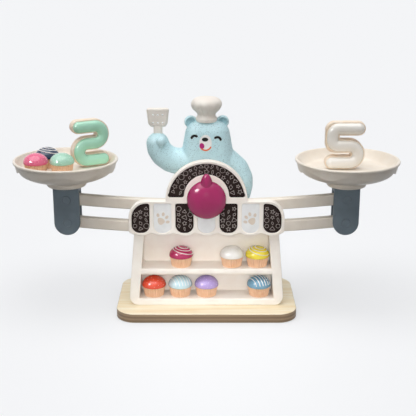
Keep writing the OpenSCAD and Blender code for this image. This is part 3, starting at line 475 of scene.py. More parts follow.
class Form:
    """A bmesh in millimetres that operators shape and that ends as one named piece."""

    def __init__(self) -> None:
        """Start empty."""
        self.bm = bmesh.new()

    @classmethod
    def of_node(cls, node: str) -> "Form":
        """Copy a CAD node's mesh, with its loose triangles merged into plain faces.

        Args:
            node: The CAD node's name.

        Returns:
            The copy, in millimetres.
        """
        form = cls()
        form.bm.from_mesh(bpy.data.objects[node].data)
        form.place(Matrix.Scale(1 / MM, 4))
        bmesh.ops.remove_doubles(form.bm, verts=form.bm.verts, dist=MERGE)
        bmesh.ops.dissolve_limit(form.bm, angle_limit=math.radians(FLAT_DEGREES), verts=form.bm.verts,
                                 edges=form.bm.edges)
        return form

    def place(self, matrix: Matrix) -> "Form":
        """Move, turn or scale everything; returns the form."""
        bmesh.ops.transform(self.bm, matrix=matrix, verts=self.bm.verts)
        return self

    def join(self, other: "Form", matrix: Matrix = Matrix()) -> "Form":
        """Take over another form's faces.

        Args:
            other: The form to copy in.
            matrix: Where its copy goes.

        Returns:
            This form.
        """
        carrier = bpy.data.meshes.new("carrier")
        other.bm.to_mesh(carrier)
        carrier.transform(matrix)
        self.bm.from_mesh(carrier)
        bpy.data.meshes.remove(carrier)
        return self

    def lathe(self, profile: Sequence[Point], steps: int = 96) -> "Form":
        """Spin a profile of radius and height about Z.

        Args:
            profile: Points as radius and height.
            steps: Faces round the axis.

        Returns:
            This form, closed and facing outwards.
        """
        verts = [self.bm.verts.new((r, 0.0, z)) for r, z in profile]
        edges = [self.bm.edges.new(pair) for pair in zip(verts, verts[1:])]
        bmesh.ops.spin(self.bm, geom=verts + edges, cent=(0, 0, 0), axis=(0, 0, 1),
                       angle=2 * math.pi, steps=steps, use_merge=True)
        return self.close()

    def close(self) -> "Form":
        """Merge doubles and turn the faces outwards.

        Returns:
            This form.
        """
        bmesh.ops.remove_doubles(self.bm, verts=self.bm.verts, dist=MERGE)
        bmesh.ops.recalc_face_normals(self.bm, faces=self.bm.faces)
        return self

    def soften(self, radius: float, segments: int = 3, angle: float = 28.0,
               where: Callable[[Vector], bool] | None = None) -> "Form":
        """Round the sharp edges.

        Args:
            radius: How far the rounding reaches from an edge.
            segments: Faces across the rounding.
            angle: Edges that turn less than this stay as they are.
            where: Takes an edge's middle and says whether it is rounded.

        Returns:
            This form.
        """
        limit = math.radians(angle)
        sharp = [e for e in self.bm.edges if e.is_manifold and e.calc_face_angle(0.0) > limit
                 and (where is None or where((e.verts[0].co + e.verts[1].co) / 2))]
        bmesh.ops.bevel(self.bm, geom=sharp, offset=radius, offset_type="OFFSET", affect="EDGES",
                        segments=segments, profile=0.5, material=-1, clamp_overlap=False)
        return self

    def bend(self, move: Callable[[Vector], Vector]) -> "Form":
        """Move each vertex by a rule.

        Args:
            move: Takes a vertex's place and gives its new one.

        Returns:
            This form.
        """
        for vert in self.bm.verts:
            vert.co = move(vert.co)
        return self

    def helper(self) -> bpy.types.Object:
        """Put the form into a helper object for a modifier.

        Returns:
            The helper object.
        """
        mesh = bpy.data.meshes.new("helper")
        self.bm.to_mesh(mesh)
        made = bpy.data.objects.new("helper", mesh)
        bpy.context.scene.collection.objects.link(made)
        return made

    def settle(self, *helpers: bpy.types.Object) -> "Form":
        """Take over what the first helper's modifiers make, and drop the helpers.

        Args:
            helpers: The helper with the modifiers, then those that it uses.

        Returns:
            This form.
        """
        graph = bpy.context.evaluated_depsgraph_get()
        made = bpy.data.meshes.new_from_object(helpers[0].evaluated_get(graph))
        self.bm.clear()
        self.bm.from_mesh(made)
        bpy.data.meshes.remove(made)
        for helper in helpers:
            bpy.data.meshes.remove(helper.data)
        return self

    def cut(self, tool: "Form") -> "Form":
        """Take a closed form's space out of this one.

        Args:
            tool: The form that cuts.

        Returns:
            This form.
        """
        whole, knife = self.helper(), tool.helper()
        step = whole.modifiers.new("cut", "BOOLEAN")
        step.operation = "DIFFERENCE"
        step.solver = "EXACT"
        step.object = knife
        return self.settle(whole, knife)

    def piece(self, name: str, finish: Finish, body: str, slot: str, replaces: Iterable[str] = (),
              sharp: float = 40.0) -> bpy.types.Object:
        """End the form as a piece of the toy.

        Args:
            name: The piece's name.
            finish: Its finish.
            body: The CAD body that it rides on.
            slot: The record's material slot; not used.
            replaces: CAD nodes that it stands for.
            sharp: Edges that turn more than this keep a crisp line.

        Returns:
            The piece's object.
        """
        limit = math.radians(sharp)
        for face in self.bm.faces:
            face.smooth = True
        for edge in self.bm.edges:
            edge.smooth = edge.calc_face_angle(0.0) < limit
        self.place(Matrix.Scale(MM, 4))
        mesh = bpy.data.meshes.new(name)
        self.bm.to_mesh(mesh)
        self.bm.free()
        piece = bpy.data.objects.new(name, mesh)
        bpy.context.scene.collection.objects.link(piece)
        mesh.materials.append(finish.material())
        even = piece.modifiers.new("even shading", "WEIGHTED_NORMAL")
        even.keep_sharp = True
        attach(piece, body)
        nodes = tuple(replaces)
        if nodes:
            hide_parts(*nodes)
        LOG.info("%s rides on %s", name, body)
        return piece


def curve_through(points: Sequence[Point], steps: int = 5) -> list[Point]:
    """Follow a smooth line through a profile's points.

    Args:
        points: The points that the line passes.
        steps: Steps between two points.

    Returns:
        The finer profile.
    """
    knots = [Vector(points[0]), *(Vector(p) for p in points), Vector(points[-1])]
    line: list[Point] = []
    for a, b, c, d in zip(knots, knots[1:], knots[2:], knots[3:]):
        for k in range(steps):
            t = k / steps
            spot = 0.5 * (2 * b + (c - a) * t + (2 * a - 5 * b + 4 * c - d) * t * t
                          + (3 * b - a - 3 * c + d) * t * t * t)
            line.append((max(spot.x, 0.0), spot.y))
    line.append((points[-1][0], points[-1][1]))
    return line


def carry(finish: Finish, *nodes: str) -> None:
    """Dress CAD nodes that keep their own shape.

    Args:
        finish: Their finish.
        nodes: The CAD nodes' names.
    """
    for node in nodes:
        mesh = bpy.data.objects[node].data
        mesh.materials.clear()
        mesh.materials.append(finish.material())
        LOG.info("%s keeps its solid", node)


@dataclass
class BoardAndStand:
    """The wooden board and the stand with its two bays."""

    board_edge: float = 1.3
    board_top: float = 10.0
    front_edge: float = 1.5
    rear_edge: float = 0.6
    front_foot: float = -37.0
    lean: float = math.tan(math.radians(12.4))
    tolerance: float = 0.05

    def on_front(self, spot: Vector) -> bool:
        """Tell whether a point lies on the stand's slanted front."""
        return abs(spot.y - (self.front_foot + (spot.z - self.board_top) * self.lean)) < self.tolerance

    def build(self) -> None:
        """Soften the board and both halves of the stand, and dress their screws."""
        board = Form.of_node("base_board").soften(self.board_edge, 4)
        board.piece("board", PINE, "stand", "board_wood", ["base_board"])
        front = Form.of_node("stand_front").soften(self.front_edge, 4, where=self.on_front)
        front.piece("display_stand", CREAM, "stand", "cream", ["stand_front"])
        rear = Form.of_node("stand_rear").soften(self.rear_edge)
        rear.piece("rear_housing", CREAM, "stand", "cream", ["stand_rear"])
        carry(STEEL, "base_screws", "shell_screws", "awning_screws", "bear_screws")


class Motif(Enum):
    """Plain line shapes of the printed panels."""

    RING = "ring"
    STAR = "star"
    DIAMOND = "diamond"
    HEART = "heart"
    FLOWER = "flower"
    LEAF = "leaf"

    def corner(self, k: int, turn: float) -> Point:
        """Give one point of the shape's outline, for a shape of unit size.

        Args:
            k: Number of the point.
            turn: Its angle round the middle, in radians.

        Returns:
            The point's place across and up.
        """
        reach = 1.0
        if self is Motif.STAR:
            reach = 1.0 if k % 2 == 0 else 0.48
        elif self is Motif.FLOWER:
            reach = 0.78 + 0.22 * math.cos(5 * turn)
        across, up = reach * math.cos(turn), reach * math.sin(turn)
        if self is Motif.DIAMOND:
            across *= 0.68
        elif self is Motif.LEAF:
            across *= 0.42 + 0.12 * up
        elif self is Motif.HEART:
            across = math.cos(turn) ** 3
            up = 0.08 + 0.8 * math.sin(turn) - 0.32 * math.cos(2 * turn) * (1 if up > -0.6 else 0.9)
        return across, up

    def points(self) -> int:
        """Number of points round the outline."""
        return {Motif.STAR: 10, Motif.DIAMOND: 4}.get(self, 24)


@dataclass(frozen=True)
class Pad:
    """One pad of a paw print: its place from the flute's middle, half sizes, turn and dent."""

    across: float
    up: float
    wide: float = 1.5
    tall: float = 2.1
    turn: float = 0.0
    dent: float = 0.0

    def outline(self, co: Vector) -> Vector:
        """Draw a point of a unit circle out to the pad's outline.

        Args:
            co: The point on the circle.

        Returns:
            The point on the pad.
        """
        across = self.wide * co.x * (1 - self.dent * co.y)
        up = self.tall * (co.y - self.dent * abs(co.x))
        return Vector((across, up, 0.0))


@dataclass
class Awning:
    """The fluted awning with its sunk panels and their prints."""

    edge: float = 0.75
    face_y: float = -30.0
    tolerance: float = 0.05
    pitch: float = 22.4
    hem: float = 1.6
    scallop_foot: float = 85.4
    scallop_r: float = 20.0
    scallop_near: float = 0.12
    print_y: float = -29.47
    ink: float = 0.06
    line: float = 0.5
    motif_r: float = 2.2
    motif_growth: float = 0.8
    panel_foot: float = 87.0
    column_step: float = 5.8
    corner_step: float = 4.3
    row_rise: float = 6.1
    middle_start: float = 4.2
    side_start: float = 7.4
    shoulder: float = 120.7
    arch_mid: float = 125.8
    arch_inner: float = 22.9
    arch_outer: float = 38.9
    arch_end: float = 8.0
    arch_rings: tuple[tuple[float, int], ...] = ((0.25, 13), (0.75, 17))
    paw: tuple[Pad, ...] = (
        Pad(-4.5, 105.9, turn=12.0), Pad(0.8, 106.9, turn=-8.0), Pad(4.4, 103.8, turn=-42.0),
        Pad(5.2, 98.7, turn=-80.0), Pad(-1.8, 99.9, 3.5, 3.9, 38.0, 0.16))

    def on_face(self, spot: Vector) -> bool:
        """Tell whether a point lies on the awning's front."""
        return spot.y < self.face_y + self.tolerance

    def drop_hem(self, co: Vector) -> Vector:
        """Let the scalloped edge hang a little lower.

        Args:
            co: A point of the awning.

        Returns:
            Its new place.
        """
        flute = max(-3, min(3, round(co.x / self.pitch)))
        off = min(abs(co.x - flute * self.pitch), self.scallop_r)
        edge = self.scallop_foot + self.scallop_r - math.sqrt(self.scallop_r ** 2 - off * off)
        lower = self.hem if abs(co.z - edge) < self.scallop_near else 0.0
        return Vector((co.x, co.y, co.z - lower))

    def face_viewer(self, sheet: Form) -> Form:
        """Give a flat print its thickness and stand it upright.

        Args:
            sheet: The print, flat round the origin.

        Returns:
            The print, facing the viewer.
        """
        bmesh.ops.solidify(sheet.bm, geom=sheet.bm.faces[:], thickness=self.ink)
        return sheet.place(turned(90, "X")).close()

    def outline(self, motif: Motif, size: float) -> Form:
        """Draw a motif's outline as a thin closed print that faces the viewer.

        Args:
            motif: The shape.
            size: Its radius.

        Returns:
            The print, round the origin.
        """
        form = Form()
        count = motif.points()
        made = bmesh.ops.create_circle(form.bm, cap_ends=True, segments=count, radius=1.0)
        for k, vert in enumerate(made["verts"]):
            across, up = motif.corner(k, math.pi / 2 + 2 * math.pi * k / count)
            vert.co = (size * across, size * up, 0.0)
        ring = bmesh.ops.inset_region(form.bm, faces=form.bm.faces[:], thickness=self.line,
                                      use_even_offset=True, use_boundary=True)["faces"]
        middle = [f for f in form.bm.faces if f not in ring]
        bmesh.ops.delete(form.bm, geom=middle, context="FACES")
        return self.face_viewer(form)

    def flute_places(self) -> list[Point]:
        """List where motifs stand on the four dark flutes.

        Returns:
            Places across and up.
        """
        places = []
        for flute in (-3, -1, 1, 3):
            for column in (-1, 0, 1):
                start = self.middle_start if column == 0 else self.side_start
                beside_corner = abs(flute) == 3 and column * flute > 0
                for row in range(3 if beside_corner else 4):
                    step = self.corner_step if beside_corner and row == 2 else self.column_step
                    up = start + self.row_rise * row
                    places.append((flute * self.pitch + column * step, self.panel_foot + up))
        return places

    def arch_places(self) -> list[Point]:
        """List where motifs stand on the dark arch.

        Returns:
            Places across and up.
        """
        places = []
        drop = self.arch_mid - self.shoulder
        for share, count in self.arch_rings:
            for k in range(count):
                turn = math.radians(self.arch_end + (180 - 2 * self.arch_end) * k / (count - 1))
                wide, tall = math.cos(turn), math.sin(turn)
                outer = math.sqrt(self.arch_outer ** 2 - (drop * wide) ** 2) - drop * tall
                reach = self.arch_inner + share * (outer - self.arch_inner)
                places.append((reach * wide, self.arch_mid + reach * tall))
        return places

    def print_lines(self) -> Form:
        """Print the line motifs on the dark panels, each with its own kind, size and turn.

        Returns:
            The print.
        """
        sheet = Form()
        kinds = list(Motif)
        # The factors spread kinds, sizes and turns so that neighbours differ.
        for k, (across, up) in enumerate(self.flute_places() + self.arch_places()):
            motif = kinds[(k * 5 + k // 6) % len(kinds)]
            size = self.motif_r + self.motif_growth * ((k * 7) % 5) / 4
            spot = at(across, self.print_y, up) @ turned((k * 53) % 70 - 35, "Y")
            sheet.join(self.outline(motif, size), spot)
        return sheet

    def print_paws(self) -> Form:
        """Print a paw on each of the two outer white panels.

        Returns:
            The print.
        """
        sheet = Form()
        for side in (-1, 1):
            for pad in self.paw:
                oval = Form()
                bmesh.ops.create_circle(oval.bm, cap_ends=True, segments=24, radius=1.0)
                spot = at(side * (2 * self.pitch) - side * pad.across, self.print_y, pad.up)
                sheet.join(self.face_viewer(oval.bend(pad.outline)), spot @ turned(side * pad.turn, "Y"))
        return sheet

    def build(self) -> None:
        """Soften the awning, dress its panels and print them."""
        frame = Form.of_node("awning").bend(self.drop_hem).soften(self.edge, where=self.on_face)
        frame.piece("awning_frame", CREAM, "stand", "cream", ["awning"])
        carry(DARK_SHEET, "arch_panel", "dark_panels")
        carry(WHITE_SHEET, "white_panels")
        self.print_lines().piece("panel_lines", LINE_INK, "stand", "dark_print")
        self.print_paws().piece("panel_paws", PAW_INK, "stand", "white_print")


@dataclass
class Balance:
    """Both beams, their axles and the knob that points."""

    edge: float = 1.9
    edge_angle: float = 50.0
    arm: float = 146.25
    pin_clear: float = 3.5
    hub_clear: float = 4.0
    axle_z: float = 124.7
    knob_y: float = -30.6
    knob_r: float = 19.75
    knob_flat_r: float = 12.0
    knob_back: float = 7.6
    knob_front: float = 11.0
    nub_out: float = 8.2
    nub_up: float = 12.4
    nub_lean: float = 12.0

    def clear_of_pins(self, spot: Vector) -> bool:
        """Tell whether a point lies away from the pivots' bores."""
        return abs(spot.x) > self.hub_clear and abs(abs(spot.x) - self.arm) > self.pin_clear

    def knob(self) -> Form:
        """Spin the ball and its leaning nub.

        Returns:
            Both, in place.
        """
        back = [(self.knob_flat_r + (self.knob_r - self.knob_flat_r) * math.sin(a),
                 self.knob_back - self.knob_back * math.cos(a)) for a in quarter(12)]
        front = [(self.knob_r * math.cos(a), self.knob_back + self.knob_front * math.sin(a))
                 for a in quarter(18)]
        ball = Form().lathe([(0.0, 0.0), *back, *front[1:]])
        line = curve_through([(5.4, 0), (6.3, 3), (6.1, 6), (5.3, 9), (4.3, 11.6), (3.0, 13.9), (1.6, 15.2),
                              (0, 15.6)], 4)
        nub = Form().lathe([(0.0, 0.0), *line], 48)
        lean = at(0, self.knob_y - self.nub_out, self.axle_z + self.nub_up) @ turned(self.nub_lean, "X")
        return ball.place(at(0, self.knob_y, self.axle_z) @ turned(90, "X")).join(nub, lean)

    def build(self) -> None:
        """Soften the beams, dress the axles and spin the knob."""
        for name in ("upper", "lower"):
            beam = Form.of_node(f"{name}_beam").soften(self.edge, 4, self.edge_angle, self.clear_of_pins)
            # The beams' greyer cream is painted shade.
            beam.piece(f"{name}_arm", SHADED_BEAM_CREAM, f"beam_{name}", "cream", [f"{name}_beam"])
            carry(STEEL, f"{name}_axle")
        carry(NYLON, "hub_washers")
        self.knob().piece("knob", MAGENTA, "beam_upper", "magenta", ["pointer_knob"])


@dataclass
class Carrier:
    """One post with its pan; the pan's heights count from its floor."""

    side: str
    centre_x: float
    wave_turn: float
    centre_y: float = 5.5
    floor_z: float = 146.0
    rim_r: float = 53.75
    depth: float = 10.75
    waves: int = 7
    skirt_low: float = -1.6
    skirt_high: float = 3.3
    skirt_slant: float = 0.25
    skirt_skin: float = 1.0
    skirt_edge: float = 0.3
    bowl_gap: float = 1.8
    plate_edge: float = 0.9
    plate_half: float = 11.0
    plate_foot: float = 84.0
    plate_y: float = -4.5
    pivots: Point = (114.2, 89.5)

    @staticmethod
    def button() -> Form:
        """Spin the shallow cap that covers a pivot.

        Returns:
            The cap, facing the viewer.
        """
        line = curve_through([(0, 0.5), (1.6, 0.45), (2.7, 0.3), (3.2, 0.55), (4.0, 1.0), (4.7, 0.75),
                              (5.1, -0.1)])
        return Form().lathe(line, 48).place(turned(90, "X"))

    def dish(self) -> Form:
        """Spin the dish with its rim, and draw its skirt's edge into waves.

        Returns:
            The dish, round its floor's middle.
        """
        r, d = self.rim_r, self.depth
        skirt_r, skirt_top, low = r - 1.55, d - 5.4, -9.0
        inner = curve_through([(r - 13, 0), (r - 10.6, 0.15), (r - 8.6, 1.2), (r - 6.2, 4.0),
                               (r - 4.2, 7.0), (r - 2.6, 9.8)], 4)
        rim = curve_through([(r - 2.2, d - 0.35), (r - 1.0, d), (r + 0.1, d - 0.5), (r + 0.45, d - 1.6),
                             (r + 0.1, d - 2.7)], 4)
        skirt = [(r - 1.0, d - 3.2), (r - 1.25, d - 4.2), (skirt_r, skirt_top), (r - 3.4, low),
                 (r - 4.4, low), (r - 2.6, skirt_top), (r - 4.2, d - 5.6), (r - 4.6, d - 7),
                 (r - 8.4, -1.6), (r - 14, -2.0), (0, -2.0)]

        def wave(co: Vector) -> Vector:
            """Lift the skirt's edge by a wave round the axis, along its slant.

            Args:
                co: A point of the dish.

            Returns:
                Its new place.
            """
            if co.z > low + 0.5:
                return co
            turn = math.atan2(co.y, co.x) + math.pi / 2 - math.radians(self.wave_turn)
            lift = 0.5 + 0.5 * math.cos(self.waves * turn)
            height = self.skirt_low + (self.skirt_high - self.skirt_low) * lift
            skin = 0.0 if co.xy.length > r - 4 else self.skirt_skin
            reach = (skirt_r - skin - self.skirt_slant * (skirt_top - height)) / co.xy.length
            return Vector((co.x * reach, co.y * reach, height))

        def on_skirt(spot: Vector) -> bool:
            """Tell whether a point lies on the skirt's lower edge."""
            return spot.z < 4.0 and spot.xy.length > r - 5

        form = Form().lathe([(0.0, 0.0), *inner, *rim, *skirt], 168)
        return form.bend(wave).soften(self.skirt_edge, 2, 50.0, on_skirt)

    def bowl(self) -> Form:
        """Spin the bowl below the dish with its collar.

        Returns:
            The bowl, round the middle of the dish's floor.
        """
        r = self.rim_r - self.bowl_gap
        outer = curve_through([(r - 1.0, 4.9), (r - 2.5, 1.0), (r - 3.4, -0.7), (r - 4.7, -2.7),
                               (r - 7.4, -4.9), (r - 11.2, -6.8), (r - 15.6, -8.4), (r - 21, -9.7),
                               (r - 27, -10.3)], 4)
        collar = curve_through([(20.95, -10.6), (20.75, -11.6), (20.75, -15.4), (20.6, -16.6),
                                (20.0, -17.6), (18.8, -18.1), (17.6, -18.2)], 4)
        inside = [(10.1, -18.2), (10.1, -6.5), (12.6, -6.5), (12.6, -8.2), (r - 21.4, -7.4),
                  (r - 12.2, -4.4), (r - 6.2, -1.1), (r - 4.5, 0.3), (r - 2.2, 4.9), (r - 1.0, 4.9)]
        return Form().lathe([*outer, *collar, *inside], 120)

    def outside(self, spot: Vector) -> bool:
        """Tell whether a point lies on the post's outer outline."""
        return abs(spot.x - self.centre_x) > self.plate_half or spot.z < self.plate_foot

    def build(self) -> None:
        """Build the pan and soften the post."""
        body = f"{self.side}_carrier"
        spot = at(self.centre_x, self.centre_y, self.floor_z)
        for part, form in (("dish", self.dish()), ("bowl", self.bowl())):
            form.place(spot).piece(f"{self.side}_{part}", PAN_CREAM, body, "cream",
                                   [f"{self.side}_pan_{part}"])
        for half in ("front", "rear"):
            node = f"{self.side}_post_{half}"
            post = Form.of_node(node).soften(self.plate_edge, where=self.outside)
            if half == "front":
                for height in self.pivots:
                    post.join(self.button(), at(self.centre_x, self.plate_y, height))
            post.piece(f"{self.side}_{half}_plate", SLATE, body, "slate_blue", [node])
        carry(STEEL, f"{self.side}_post_pins", f"{self.side}_post_screws")


@dataclass
class Bear:
    """The baker bear with its printed face, hat and spatula.

    Balls are middle and radius, with their depth from the bear's middle. The muzzle, nose and tongue hold
    what disc takes, and the eyes and smile what stroke takes.
    """

    middle_y: float = 27.0
    deck_z: float = 98.1
    flat_y: float = 17.1
    flat_top: float = 141.7
    flat_slope: float = 2.5
    voxel: float = 1.15
    smoothings: int = 16
    head_x: float = 1.0
    head_y: float = -0.5
    head: tuple[tuple[float, float, float], ...] = ((8.5, 178, 15.2), (10.5, 161, 16.3), (11.5, 148, 16.5))
    trunk: tuple[tuple[float, float, float], ...] = ((12, 152, 15), (17, 120, 15.6), (17, 96, 15.6))
    raised_arm: tuple[Ball, ...] = ((-22, 0, 147, 15), (-38, -0.5, 150.6, 13.6), (-45.6, -1, 156, 13.3),
                                    (-50, -1, 162, 12.7), (-51.4, -1, 168, 12.2))
    hanging_arm: tuple[Ball, ...] = ((22, 1, 150, 12.6), (32.4, 2.4, 140.5, 12.4), (37.2, 2.6, 130, 12.3),
                                     (38, 2.6, 122, 11.8), (37, 2.6, 112, 10.6))
    thumb: tuple[Ball, ...] = ((-47.3, -11.4, 172.6, 5.6), (-47.2, -12.2, 167.8, 2.6))
    ears: tuple[Point, Point] = ((-16.5, 191.4), (16.9, 191.6))
    ear_y: float = -1.0
    ear_r: float = 6.7
    ear_deep: float = 4.4
    dent_deep: float = 4.6
    dent_share: float = 0.8
    # The skin of painted shade covers each ear's hollow out to this radius, and stands this far off it.
    hollow_shade_r: float = 4.9
    hollow_shade_lift: float = 0.06
    before: float = -40.0
    muzzle: tuple[float, ...] = (-1.0, 171.9, 6.5, 8.5)
    nose: tuple[float, ...] = (-1.5, 175.6, 3.3, 2.1)
    eyes: tuple[tuple[float, ...], ...] = (
        (-12.1, 175.9, 3.5, 164, 58, 2.5), (11.2, 174.4, 3.6, 126, 14, 2.5))
    smile: tuple[float, ...] = (-0.9, 170.2, 5.9, 200, 332, 1.6)
    tongue: tuple[float, ...] = (-4.7, 169.0, 2.4, 3.0, -20)
    hat_foot: float = 191.6
    folds: int = 5
    fold_deep: float = 2.5
    fold_mid: float = 13.5
    fold_reach: float = 6.0
    brim_top: float = 5.5
    spatula_x: float = -51.0
    spatula_y: float = -1.0
    blade_r: float = 2.6
    blade: tuple[Point, ...] = ((9.15, 203.6), (7.7, 190.6), (6.4, 188.6))
    hole_r: float = 1.15
    hole_step: float = 4.9
    hole_rows: Point = (190.3, 198.7)
    neck_r: float = 2.5
    neck_half: float = 2.2
    neck: Point = (185.4, 170.0)

    def masses(self) -> list[Sequence[Ball]]:
        """List the balls of the head, of the trunk and of each stretch of both arms.

        Returns:
            A group of balls for each mass.
        """
        head = [(self.head_x + s * wide, self.head_y, z, r) for wide, z, r in self.head for s in (-1, 1)]
        trunk = [(s * wide, 0.0, z, r) for wide, z, r in self.trunk for s in (-1, 1)]
        arms = [pair for arm in (self.raised_arm, self.hanging_arm) for pair in zip(arm, arm[1:])]
        return [head, trunk, *arms]

    def hull(self, balls: Sequence[Ball], detail: int = 4) -> Form:
        """Stretch one skin over a few balls.

        Args:
            balls: Middle and radius of each ball, with Y from the bear's middle.
            detail: Subdivisions of a ball.

        Returns:
            The skin.
        """
        form = Form()
        for x, y, z, r in balls:
            bmesh.ops.create_icosphere(form.bm, subdivisions=detail, radius=r,
                                       matrix=at(x, self.middle_y + y, z))
        bmesh.ops.delete(form.bm, geom=form.bm.faces[:] + form.bm.edges[:], context="EDGES_FACES")
        bmesh.ops.convex_hull(form.bm, input=form.bm.verts[:])
        loose = [v for v in form.bm.verts if not v.link_faces]
        bmesh.ops.delete(form.bm, geom=loose, context="VERTS")
        return form

    def trim(self, co: Vector) -> Vector:
        """Keep a point of the body on its deck and behind the stand's upright plate.

        Args:
            co: The point.

        Returns:
            Its new place.
        """
        least = self.flat_y - self.flat_slope * max(co.z - self.flat_top, 0.0)
        return Vector((co.x, max(co.y, least), max(co.z, self.deck_z)))

    def body(self) -> Form:
        """Melt the masses into one smooth body.

        Returns:
            The body.
        """
        rough = Form()
        for balls in self.masses():
            part = self.hull(balls)
            bmesh.ops.bisect_plane(part.bm, geom=part.bm.verts[:] + part.bm.edges[:] + part.bm.faces[:],
                                   plane_co=(0, 0, self.deck_z), plane_no=(0, 0, -1), clear_outer=True)
            bmesh.ops.holes_fill(part.bm, edges=[e for e in part.bm.edges if e.is_boundary])
            rough.join(part)
        lump = rough.helper()
        melt = lump.modifiers.new("melt", "REMESH")
        melt.mode = "VOXEL"
        melt.voxel_size = self.voxel
        ease = lump.modifiers.new("ease", "SMOOTH")
        ease.factor = 0.5
        ease.iterations = self.smoothings
        return rough.settle(lump).bend(self.trim)

    def press(self, co: Vector) -> Vector:
        """Press a point of a unit ball flat, and hollow the ball's front, for an ear.

        Args:
            co: The point.

        Returns:
            Its new place.
        """
        off = math.hypot(co.x, co.z)
        dent = self.dent_deep * max(0.0, 1 - (off / self.dent_share) ** 2) if co.y < 0 else 0.0
        return Vector((self.ear_r * co.x, self.ear_deep * co.y + dent, self.ear_r * co.z))

    def ear(self, x: float, z: float) -> tuple[Form, Form]:
        """Shape one ear, and a thin skin over its hollow front that carries painted shade.

        Args:
            x: Place across.
            z: Place up.

        Returns:
            The ear and the skin of its hollow, which carries painted shade.
        """
        ear = Form()
        bmesh.ops.create_uvsphere(ear.bm, u_segments=40, v_segments=28, radius=1.0, matrix=turned(90, "X"))
        hollow = Form().join(ear.bend(self.press))
        rest = [f for f in hollow.bm.faces if f.normal.y > -0.2 or max(
            math.hypot(v.co.x, v.co.z) for v in f.verts) > self.hollow_shade_r]
        bmesh.ops.delete(hollow.bm, geom=rest, context="FACES")
        spot = at(x, self.middle_y + self.ear_y, z)
        return ear.place(spot), hollow.place(spot @ at(0, -self.hollow_shade_lift, 0))

    def disc(self, x: float, z: float, wide: float, tall: float, turn: float = 0.0) -> Form:
        """Make a flat oval that can be laid on the face.

        Args:
            x: Place across.
            z: Place up.
            wide: Half width.
            tall: Half height.
            turn: Turn in degrees.

        Returns:
            The oval, upright in front of the bear.
        """

        def oval(co: Vector) -> Vector:
            """Draw a point of a unit square to its place in the oval."""
            return Vector((wide * co.x * math.sqrt(1 - co.y ** 2 / 2), 0.0,
                           tall * co.y * math.sqrt(1 - co.x ** 2 / 2)))

        form = Form()
        bmesh.ops.create_grid(form.bm, x_segments=18, y_segments=18, size=1.0)
        return form.bend(oval).place(at(x, self.before, z) @ turned(turn, "Y"))

    def stroke(self, x: float, z: float, reach: float, start: float, end: float, width: float) -> Form:
        """Sweep a curved stroke with round ends.

        Args:
            x: Middle of the curve, across.
            z: Middle of the curve, up.
            reach: Radius of the curve.
            start: First angle in degrees.
            end: Last angle in degrees.
            width: Width of the stroke.

        Returns:
            The stroke, upright in front of the bear.
        """
        form = Form()
        a = math.radians(start)
        marks = [reach + width * (k / 4 - 0.5) for k in range(5)]
        verts = [form.bm.verts.new((m * math.cos(a), 0.0, m * math.sin(a))) for m in marks]
        edges = [form.bm.edges.new(pair) for pair in zip(verts, verts[1:])]
        bmesh.ops.spin(form.bm, geom=verts + edges, cent=(0, 0, 0), axis=(0, -1, 0),
                       angle=math.radians(end - start), steps=20)
        form.place(at(x, self.before, z))
        for angle in (start, end):
            tip = math.radians(angle)
            form.join(self.disc(x + reach * math.cos(tip), z + reach * math.sin(tip), width / 2, width / 2))
        return form

    @staticmethod
    def lay(form: Form, skin: BVHTree, lift: float) -> Form:
        """Lay a flat print on the bear's skin.

        Args:
            form: The print, in front of the bear.
            skin: The bear's skin.
            lift: How far the print stands off the skin.

        Returns:
            The print on the skin, facing the viewer.
        """
        for vert in form.bm.verts:
            spot = skin.ray_cast(vert.co, Vector((0, 1, 0)))[0]
            vert.co = spot - Vector((0, lift, 0))
        bmesh.ops.recalc_face_normals(form.bm, faces=form.bm.faces)
        for face in form.bm.faces:
            if face.normal.y > 0:
                face.normal_flip()
        return form

    def face(self, skin: BVHTree) -> None:
        """Print the face on the bear's skin, each ink a little prouder than what lies below it.

        Args:
            skin: The bear's skin.
        """
        left, right = [self.stroke(*eye) for eye in self.eyes]
        for part, form, lift, ink in (
            ("muzzle", self.disc(*self.muzzle), 0.1, WHITE_INK),
            ("eyes_nose", left.join(right).join(self.disc(*self.nose)), 0.22, BLACK_INK),
            ("smile", self.stroke(*self.smile), 0.2, ORANGE_INK),
            ("tongue", self.disc(*self.tongue), 0.3, TONGUE_INK),
        ):
            self.lay(form, skin, lift).piece(f"face_{part}", ink, "stand", "bear_blue")

    def fold(self, co: Vector) -> Vector:
        """Draw a point of the hat in where a fold runs; folds fade towards the crown and the brim.

        Args:
            co: The point, from the middle of the hat's foot.

        Returns:
            Its new place.
        """
        fade = math.exp(-((co.z - self.fold_mid) / self.fold_reach) ** 2) if co.z > self.brim_top else 0.0
        crease = 1.0 - abs(math.sin(self.folds * math.atan2(co.y, co.x) + 0.6)) ** 0.55
        scale = 1 - self.fold_deep * fade * crease / max(co.xy.length, 4.0)
        return Vector((co.x * scale, co.y * scale, co.z))

    def hat(self) -> Form:
        """Spin the baker's hat and fold its neck.

        Returns:
            The hat.
        """
        line = curve_through([(0, 0), (9.6, 0), (10.9, 0.5), (11.35, 2.2), (11.2, 4.0), (10.3, 5.3),
                              (9.6, 6.8), (9.9, 8.6), (11.8, 10.7), (14.6, 13.4), (16.1, 16.6),
                              (16.1, 19.8), (14.2, 23.0), (10.4, 25.2), (5.2, 25.9), (0, 26.0)])
        return Form().lathe(line, 144).bend(self.fold).place(at(0, self.middle_y, self.hat_foot))

